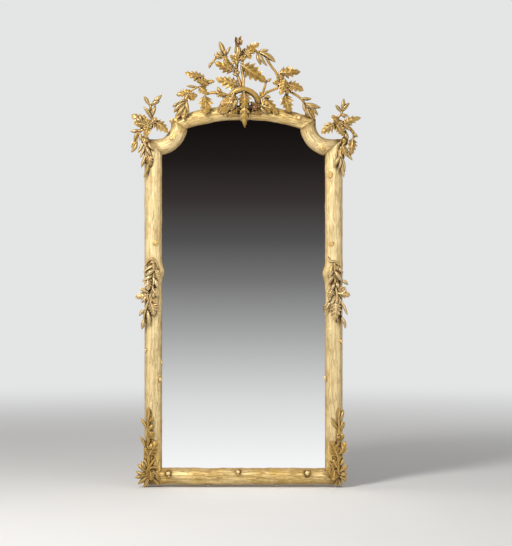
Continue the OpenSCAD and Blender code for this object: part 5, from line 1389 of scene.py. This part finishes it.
def bud_piece(name, rows, at, settings, tree, material):
    """A spray's buds: a point for each, which says the bud's direction and size, run through the tree."""
    rows = np.array(rows, float)
    ends = []
    for end in (placed(at, rows[:, 0:3]), placed(at, rows[:, 3:6])):
        end[:, 2] = clear_of_bark(end, BUD_GAP * rows[:, 6])
        ends.append(stand(end))
    aim = ends[1] - ends[0]
    radius = rows[:, 6] * MM * settings.bud_fullness
    mesh = bpy.data.meshes.new(name)
    mesh.from_pydata(ends[0].tolist(), [], [])
    store(mesh, "aim", aim)
    store(mesh, "size", np.stack([radius, radius, np.linalg.norm(aim, axis=1)], 1))
    piece = link(name, mesh)
    run_tree(piece, tree, Belly=settings.bud_belly, Material=material)
    rib = read(piece.data.attributes["rib"].data, "value", 1)[:, 0]
    # Raised on the ribs for a painted highlight, low in the flutes for painted shade
    return finish_round(piece, np.clip(1.35 * (rib - FLUTE) / (1 - FLUTE) - 0.40, -0.4, 0.95), 180)


# Spacing of the points along a stem, in metres, and how many go round it
STEM_STEP = 0.004
STEM_SIDES = 14


def stem_tree():
    """A twig along each line of edges, as thick as its points say, grooved along its length."""
    tree, n, given, out = carving_tree("Stems", Bark="Float")
    line = n.geometry("MeshToCurve", {"Mesh": given["Geometry"]})
    soft = n.geometry("CurveSplineType", {"Curve": line}, spline_type="CATMULL_ROM")
    even = n.geometry("ResampleCurve", {"Curve": soft, "Length": STEM_STEP}, mode="LENGTH")
    marked = n.geometry("StoreNamedAttribute", {
        "Geometry": even, "Name": "way", "Value": n.geometry("SplineParameter", output="Length")},
        data_type="FLOAT")
    ring = n.geometry("CurvePrimitiveCircle", {"Resolution": STEM_SIDES, "Radius": 1.0})
    girth = n.geometry("InputPosition")
    edged = n.geometry("StoreNamedAttribute", {
        "Geometry": ring, "Name": "girth", "Value": girth}, data_type="FLOAT_VECTOR")
    thick = n.named("thick")
    lumpy = thick * n.ramp(n.noise(girth, 45, 1), 0.3, 0.7, 0.94, 1.08)
    tube = n.geometry("CurveToMesh", {
        "Curve": marked, "Profile Curve": edged, "Scale": lumpy, "Fill Caps": True})
    shift = n.shader("CombineXYZ", {2: n.named("way") * 16.0})
    groove = n.drawn_noise(n.named("girth", "FLOAT_VECTOR"), (1.7, 1.7, 1), 3, 0.55, shift)
    push = (groove - 0.5) * (given["Bark"] + thick * 0.22)
    n.finish(n.push_out(tube, push), given["Material"], out)
    return tree


def stem_piece(name, rows, at, settings, tree, material):
    """A spray's stems: a line of edges for each, which says how thick it is, run through the tree."""
    points, edges, thick = [], [], []
    for first, last, line in rows:
        edges += [(len(points) + i, len(points) + i + 1) for i in range(len(line) - 1)]
        points += list(placed(at, line))
        thick += list(np.linspace(first, last, len(line)) * MM)
    mesh = bpy.data.meshes.new(name)
    mesh.from_pydata(stand(points).tolist(), edges, [])
    store(mesh, "thick", thick)
    piece = link(name, mesh)
    run_tree(piece, tree, Bark=settings.bark, Material=material)
    return finish_round(piece, 0.35, 60)


def finish_round(piece, raised, angle):
    """Smooth shading, and the values for the painted highlight or shade with the gold's rubbing, and for
    how much it is worn off.
    """
    count = len(piece.data.vertices)
    store(piece.data, "raised", np.broadcast_to(raised, count))
    store(piece.data, "bare", np.zeros(count))
    smooth(piece.data, angle)
    return piece


PAD_SIDES = 28
PAD_RINGS = 14


def pad_mesh(shape, row, at):
    """Ground left between the leaves: a rounded lump with gouge marks."""
    centre = placed(at, row[0:3])
    size = np.array(row[3:6])
    points = []
    for i in range(1, PAD_RINGS):
        tilt = math.pi * i / PAD_RINGS
        for j in range(PAD_SIDES):
            turn = 2 * math.pi * j / PAD_SIDES
            d = np.array([math.sin(tilt) * math.cos(turn), math.sin(tilt) * math.sin(turn), math.cos(tilt)])
            p = centre + size * d
            gouge = noise.noise(Vector(p * 0.07)) + 0.6 * noise.noise(Vector(p * 0.17))
            points.append(centre + size * d * (1 + 0.16 * gouge))
    # Pads are the least raised, for a little painted shade between the leaves
    shape.add(points, turned_over(tube_faces(PAD_RINGS - 1, PAD_SIDES)), raised=0.0, bare=0.0)


# The finish of each spray, by the first word of its name
SPRAY_FINISH = {"crest": "crest", "corner": "corner", "side": "middle", "foot": "carving"}


def spray(node, parts, settings, trees, materials, seed):
    """The carving that stands for one node: leaves on their ground, buds, and stems."""
    rng = np.random.default_rng(seed)
    at = parts["at"]
    gold = materials[SPRAY_FINISH[node.split("_")[0]]]
    shape = Shape("raised", "bare")
    for row in parts["leaves"]:
        leaf_mesh(shape, row, at, leaf_look(row, rng), settings)
    for row in FLORETS.get(node, []):
        floret_mesh(shape, row, at)
    pieces = [shape.piece(node + "_leaves", gold, 46)]
    if parts["pads"]:
        ground = Shape("raised", "bare")
        for row in parts["pads"]:
            pad_mesh(ground, row, at)
        pieces.append(ground.piece(node + "_ground", gold, 180))
    for kind, make in (("buds", bud_piece), ("stems", stem_piece)):
        if parts[kind]:
            pieces.append(make(node + "_" + kind, parts[kind], at, settings, trees[kind], gold))
    for piece in pieces:
        seat(piece, "gilded_wood", node)
    return pieces


# Painted shade and patina in the hollows

# Directions that are tried all round, the least rise over the surface that one is tried at, how far
# off the surface it starts, how far off a point is still covered, and how near is touching
SKY_RAYS = 24
LEAST_RISE = 0.12
RAY_START = 0.0006
HOLLOW_REACH = 0.045
CONTACT = 0.007


def sky_directions(count):
    """Directions spread evenly all round, on a spiral from pole to pole."""
    golden = math.pi * (3 - math.sqrt(5))
    z = 1 - 2 * (np.arange(count) + 0.5) / count
    r = np.sqrt(1 - z * z)
    a = golden * np.arange(count)
    return np.stack([r * np.cos(a), r * np.sin(a), z], 1)


def world_tree(pieces):
    """A search tree of all the pieces' triangles."""
    points, triangles, start = [], [], 0
    for piece in pieces:
        mesh = piece.data
        mesh.calc_loop_triangles()
        points += read(mesh.vertices, "co").tolist()
        triangles += (read(mesh.loop_triangles, "vertices", kind=np.int32) + start).tolist()
        start += len(mesh.vertices)
    return BVHTree.FromPolygons(points, triangles, all_triangles=True)


def contact_shade(mesh, others, depth):
    """For each point, depth where it touches the other pieces, less further off, and 0 past CONTACT: a
    painted contact shadow.
    """
    tree = world_tree(others)
    near = np.zeros(len(mesh.vertices), np.float32)
    for i, vertex in enumerate(mesh.vertices):
        hit = tree.find_nearest(vertex.co, CONTACT)
        if hit[0] is not None:
            near[i] = depth * (1 - hit[3] / CONTACT)
    return near


def lay_shade_and_patina(pieces, walls):
    """Stores on every point how much of the sky over it is covered close by, as the value "hollow", for the
    patina and painted shade.
    """
    tree = world_tree([p for p in pieces if not p.name.endswith("shoulder_knots")] + walls)
    bark = [p for p in pieces if p.name.endswith("_bark")]
    carvings = [p for p in pieces if p.name.endswith(("_leaves", "_buds", "_stems"))]
    directions = sky_directions(SKY_RAYS)
    rays = [Vector(d) for d in directions]
    for piece in pieces:
        mesh = piece.data
        normals = read(mesh.vertex_normals, "vector")
        facing = normals @ directions.T
        hollow = np.zeros(len(mesh.vertices), np.float32)
        for i, vertex in enumerate(mesh.vertices):
            start = vertex.co + Vector(normals[i]) * RAY_START
            total = covered = 0.0
            for k in np.nonzero(facing[i] > LEAST_RISE)[0]:
                weight = facing[i, k]
                total += weight
                hit = tree.ray_cast(start, rays[k], HOLLOW_REACH)
                if hit[0] is not None:
                    covered += weight * (1 - 0.6 * hit[3] / HOLLOW_REACH)
            hollow[i] = covered / total if total else 1
        # Where bark and carving touch, the value rises further: a painted contact shadow
        if piece in bark:
            hollow = np.maximum(hollow, contact_shade(mesh, carvings, 0.6))
        elif piece in carvings:
            hollow = np.maximum(hollow, contact_shade(mesh, bark, 0.4))
        store(mesh, "hollow", hollow)


# Operators

def settings_of(context):
    """The five groups of settings, in the order of GROUPS."""
    return [getattr(context.scene, name) for name in GROUPS]


# What the operators hand on: the gilded pieces, the materials and the geometry trees
MADE = {"gilded": [], "materials": {}, "trees": {}}
FIRST_SEED = 11


class MIRROR_OT_finishes(bpy.types.Operator):
    """Make the finishes and the geometry trees"""
    bl_idname = "mirror.finishes"
    bl_label = "Finishes"

    def execute(self, context):
        _, _, hues, back, _ = settings_of(context)
        gold = gilding_group()
        grain = grain_group()
        MADE["materials"] = {
            # How strong the painted highlight on the trunk's crown is, weakest on the shaded foot, and how
            # deep its grain is drawn
            "side": gilded_trunk("Gilded side", gold, hues, 0.95, 0.42),
            "arch": gilded_trunk("Gilded arch", gold, hues, 0.75, 0.55),
            "foot": gilded_trunk("Gilded foot", gold, hues, 0.35, 0.75),
            # The two golds of the leaf, the gold of the painted highlight and rubbing on the ribs, and the
            # strength of the patina and painted shade
            "carving": gilded_carving("Gilded carving", gold, hues, hues.deep, hues.gold, hues.pale, 1.9),
            # The corner and crest golds are deeper and their darkening stronger, partly as painted shade
            "corner": gilded_carving("Gilded corner", gold, hues, hues.umber, hues.tan, hues.cream, 2.8),
            "middle": gilded_carving("Gilded side spray", gold, hues, hues.tan, hues.sand, hues.cream, 2.3),
            "crest": gilded_carving("Gilded crest", gold, hues, hues.umber, hues.toned, hues.cream, 2.6),
            "knot": gilded_carving("Gilded knots", gold, hues, hues.gold, hues.sun, hues.pale, 1.2),
            # How the grain is stretched, where the board is cut from, and its tone
            "pine_level": pine("Pine, grain across", grain, back, (0.05, 1, 1)),
            "board_0": pine("Board, heart wood", grain, back, (0.05, 1, 1), 0.37, 1.12),
            "board_1": pine("Board, middle cut", grain, back, (0.05, 1, 0.8), 1.91, 0.92),
            "board_2": pine("Board, outer cut", grain, back, (0.05, 1, 1.2), 3.30, 1.30),
            "pine_upright": pine("Pine, grain upright", grain, back, (1, 1, 0.05)),
            # Tarnish, roughness, and how fine the clouds are
            "brass": metal("Aged brass", back.brass, (0.22, 0.13, 0.05), 0.30, 90),
            "steel": metal("Screw steel", back.steel, (0.10, 0.05, 0.03), 0.42, 160),
            "plate": silvered_plate(),
        }
        MADE["trees"] = {"bark": bark_tree(), "buds": bud_tree(), "stems": stem_tree()}
        return {"FINISHED"}


class MIRROR_OT_trunk(bpy.types.Operator):
    """Carve the six lengths of gilded trunk and their knots"""
    bl_idname = "mirror.trunk"
    bl_label = "Gilded Trunk"

    def execute(self, context):
        settings = settings_of(context)[0]
        lengths = (
            ("left", side_line, STILE_W, -1, "side"),
            ("right", side_line, STILE_W, 1, "side"),
            ("bottom", bottom_line, RAIL_H, 1, "foot"),
            ("arch", arch_line, ARCH_W, 1, "arch"),
            ("left_shoulder", shoulder_line, SHOULDER_W, -1, "arch"),
            ("right_shoulder", shoulder_line, SHOULDER_W, 1, "arch"),
        )
        for which, line, width, side, tone in lengths:
            node = "trunk_" + which
            places = knot_places(which, KNOTS[which])
            spots = [(p[0], p[1], r, kind) for p, _, r, kind in places]
            piece = trunk_piece(node + "_bark", node, line, width, side, spots, settings,
                                MADE["trees"]["bark"], MADE["materials"][tone])
            stubs = Shape("raised", "bare")
            for centre, normal, r, kind in places:
                turn = np.array([side, 1, 1])
                if kind == BALL:
                    knot_ball(stubs, centre * turn, normal * turn, r)
                elif kind == BURR:
                    knot_burr(stubs, centre, r, side)
            knots = stubs.piece(node + "_knots", MADE["materials"]["knot"])
            seat(knots, "gilded_wood", node)
            MADE["gilded"] += [piece, knots]
        return {"FINISHED"}


class MIRROR_OT_carving(bpy.types.Operator):
    """Carve the crest and the sprays"""
    bl_idname = "mirror.carving"
    bl_label = "Crest and Sprays"

    def execute(self, context):
        settings = settings_of(context)[1]
        for seed, (node, parts) in enumerate(SPRAYS.items(), FIRST_SEED):
            MADE["gilded"] += spray(node, parts, settings, MADE["trees"], MADE["materials"], seed)
        return {"FINISHED"}


class MIRROR_OT_shade_and_patina(bpy.types.Operator):
    """Find the hollows of the carving, where the patina and the painted shade lie"""
    bl_idname = "mirror.patina"
    bl_label = "Patina"

    def execute(self, context):
        lay_shade_and_patina(MADE["gilded"], [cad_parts["mirror_plate"]])
        return {"FINISHED"}


class MIRROR_OT_plate(bpy.types.Operator):
    """Silver the mirror plate"""
    bl_idname = "mirror.plate"
    bl_label = "Mirror Plate"

    def execute(self, context):
        dress("mirror_plate", "plate")
        return {"FINISHED"}


class MIRROR_OT_back(bpy.types.Operator):
    """Finish the carcass, boards, pegs, blocks and screws"""
    bl_idname = "mirror.back"
    bl_label = "Carcass and Boards"

    def execute(self, context):
        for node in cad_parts:
            if node == "glue_blocks" or node.startswith("carcass") and node.endswith(("stile", "shoulder")):
                dress(node, "pine_upright")
            elif node.startswith("backboard_s") or node == "facing_screws":
                dress(node, "steel")
            elif node[:10] == "backboard_" and node[10:].isdigit():
                dress(node, "board_%d" % (int(node[10:]) * 2 % 3))
            elif node.startswith(("carcass", "backboard", "corner_pegs", "loose")):
                dress(node, "pine_level")
        return {"FINISHED"}


class MIRROR_OT_hangers(bpy.types.Operator):
    """Finish the brass hangers and their screws"""
    bl_idname = "mirror.hangers"
    bl_label = "Hangers"

    def execute(self, context):
        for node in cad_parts:
            if node.startswith("hanger"):
                dress(node, "brass")
        return {"FINISHED"}


def dress(node, finish):
    """Gives a CAD node's own mesh a finish."""
    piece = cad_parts[node]
    piece.data.materials.clear()
    piece.data.materials.append(MADE["materials"][finish])


class MIRROR_OT_stage(bpy.types.Operator):
    """Set the floor, the lights and the camera"""
    bl_idname = "mirror.stage"
    bl_label = "Stage"

    def execute(self, context):
        stage = settings_of(context)[4]
        make_floor(stage)
        make_glowing_reflection_card(stage)
        make_sky(context, stage)
        make_lights(stage)
        make_camera(context, stage)
        context.scene.view_settings.view_transform = "Standard"
        return {"FINISHED"}


# Stage

# The middle of the view, across and up, in metres
VIEW_MIDDLE = (0.062, 0.1045)
# Glow of a card that the plate shows as a painted reflection, at heights on the plate in metres: pale at
# the foot, dark above
GLOW_GREYS = ((-0.87, 0.99), (-0.53, 0.74), (-0.18, 0.385), (0.07, 0.182), (0.27, 0.085), (0.47, 0.035),
              (0.67, 0.013), (0.84, 0.006))
# How far that card stands behind the camera, and half its width
WALL_BEHIND = 3.0
WALL_HALF_W = 3.2
FLOOR_HALF_W = 60
BACKDROP = (0.97, 0.975, 0.98)
# The greys below this one turn warm
WARM_BELOW = 0.09


def flat(name, corners, material):
    """A four-sided piece of the stage."""
    mesh = bpy.data.meshes.new(name)
    mesh.from_pydata(corners, [], [(0, 1, 2, 3)])
    mesh.materials.append(material)
    piece = link(name, mesh)
    return piece


def make_floor(stage):
    """A pale floor that keeps the shadow and fades into the backdrop further off."""
    finish = Finish("Studio floor")
    n = finish.n
    cloud = n.noise(finish.place, 1.5, 4)
    grey = n.ramp(cloud, 0.3, 0.7, 0, 0.06)
    finish.feed(Base_Color=n.mix(grey, stage.floor, (0.6, 0.6, 0.6)), Roughness=0.8)
    seen = n.shader("LightPath", output="Is Camera Ray")
    far_off = n.ramp(n.vector("LENGTH", finish.place), 1.2, 9.0, interpolation_type="SMOOTHERSTEP")
    glow = n.shader("Emission", {"Color": BACKDROP, "Strength": stage.backdrop})
    plain = Value(n, finish.principled.outputs[0])
    blend = n.shader("MixShader", {0: seen * far_off, 1: plain, 2: glow})
    n.give(finish.material.node_tree.nodes["Material Output"].inputs, Surface=blend)
    low = CAD_BOX[0][2]
    far = FLOOR_HALF_W
    corners = [(-far, -far, low), (far, -far, low), (far, far, low), (-far, far, low)]
    floor = flat("floor", corners, finish.material)
    floor.visible_glossy = False


def make_glowing_reflection_card(stage):
    """A graded glowing card behind the camera, which only the mirror plate shows: a painted reflection."""
    y = -stage.distance - WALL_BEHIND
    spread = -y / stage.distance
    heights = [z + (z - VIEW_MIDDLE[1]) * spread for z, _ in GLOW_GREYS]
    low, high = heights[0] - 0.8, heights[-1] + 0.6
    finish = Finish("Graded wall")
    n = finish.n
    up = n.shader("SeparateXYZ", {0: finish.place}, "Z")
    ramp = n.add("ShaderNodeValToRGB", {"Fac": n.ramp(up, low, high)})
    stops = ramp.color_ramp.elements
    while len(stops) < len(GLOW_GREYS):
        stops.new(0.5)
    for stop, height, (_, grey) in zip(stops, heights, GLOW_GREYS):
        stop.position = (height - low) / (high - low)
        warm = max(0, 1 - grey / WARM_BELOW)
        stop.color = (grey * (1 + 0.25 * warm), grey * (1 - 0.06 * warm), grey * (1 - 0.16 * warm), 1)
    # It glows in the ramp's greys though it is no lamp, and lights nothing
    finish.feed(Base_Color=(0, 0, 0), Emission_Color=n.outputs(ramp)["Color"], Emission_Strength=1.0,
                Roughness=1.0, Specular_IOR_Level=0)
    half = WALL_HALF_W
    corners = [(-half, y, low), (-half, y, high), (half, y, high), (half, y, low)]
    wall = flat("graded_wall", corners, finish.material)
    wall.visible_camera = wall.visible_diffuse = wall.visible_shadow = wall.visible_transmission = False


def make_sky(context, stage):
    """Light from all round, and the pale backdrop that the camera and the plate see."""
    world = bpy.data.worlds.new("Studio")
    context.scene.world = world
    world.use_nodes = True
    n = Nodes(world.node_tree)
    seen = n.outputs(n.add("ShaderNodeLightPath"))
    shown = n.math("MAXIMUM", seen["Is Glossy Ray"], seen["Is Transmission Ray"])
    shown = n.math("MAXIMUM", seen["Is Camera Ray"], shown)
    n.give(world.node_tree.nodes["Background"].inputs, Color=BACKDROP,
           Strength=n.ramp(shown, 0, 1, stage.sky, stage.backdrop))


def lamp(name, place, aim, size, power, colour=(1, 1, 1)):
    data = bpy.data.lights.new(name, "AREA")
    data.shape = "DISK"
    data.size = size
    data.energy = power
    data.color = colour
    light = bpy.data.objects.new(name, data)
    light.location = place
    light.rotation_euler = (Vector(aim) - Vector(place)).to_track_quat("-Z", "Y").to_euler()
    bpy.context.scene.collection.objects.link(light)


def make_lights(stage):
    """A key light from the upper left, a wide fill from the right, and a soft one behind."""
    lamp("key_light", (-1.9, -3.0, 2.7), (0, 0, 0.3), 1.1, stage.key, (1, 0.985, 0.96))
    lamp("fill_light", (4.2, -4.0, 1.6), (0, 0, 0), 3.0, stage.fill, (0.97, 0.98, 1))
    lamp("rear_light", (1.5, 4.5, 2.5), (0, 0, 0), 5.0, stage.fill * 0.5)


def make_camera(context, stage):
    """A camera level with the view's middle, which takes in the view's width at the wall plane."""
    data = bpy.data.cameras.new("camera")
    data.sensor_fit = "HORIZONTAL"
    data.lens = data.sensor_width * stage.distance / stage.view_w
    camera = bpy.data.objects.new("camera", data)
    camera.location = (VIEW_MIDDLE[0], -stage.distance, VIEW_MIDDLE[1])
    camera.rotation_euler = (math.pi / 2, 0, 0)
    context.scene.collection.objects.link(camera)
    context.scene.camera = camera


class MIRROR_PT_panel(bpy.types.Panel):
    """Lists the mirror's pieces in the order that they are made"""
    bl_idname = "MIRROR_PT_panel"
    bl_label = "Giltwood Mirror"
    bl_space_type = "VIEW_3D"
    bl_region_type = "UI"
    bl_category = "Mirror"

    def draw(self, context):
        for step in STEPS:
            self.layout.operator(step.bl_idname)
        for group in settings_of(context):
            box = self.layout.box()
            for name in group.__annotations__:
                box.prop(group, name)


STEPS = (MIRROR_OT_finishes, MIRROR_OT_trunk, MIRROR_OT_carving, MIRROR_OT_shade_and_patina, MIRROR_OT_plate,
         MIRROR_OT_back, MIRROR_OT_hangers, MIRROR_OT_stage)
GROUPS = {
    "mirror_trunk": TrunkSettings, "mirror_carving": CarvingSettings, "mirror_gilding": GildingSettings,
    "mirror_back": BackSettings, "mirror_stage": StageSettings,
}


def register():
    for cls in (*GROUPS.values(), *STEPS, MIRROR_PT_panel):
        bpy.utils.register_class(cls)
    for name, group in GROUPS.items():
        setattr(bpy.types.Scene, name, PointerProperty(type=group))


def unregister():
    for name in GROUPS:
        delattr(bpy.types.Scene, name)
    for cls in reversed((*GROUPS.values(), *STEPS, MIRROR_PT_panel)):
        bpy.utils.unregister_class(cls)


def main():
    register()
    for step in STEPS:
        family, name = step.bl_idname.split(".")
        getattr(getattr(bpy.ops, family), name)()


if __name__ == "__main__":
    main()
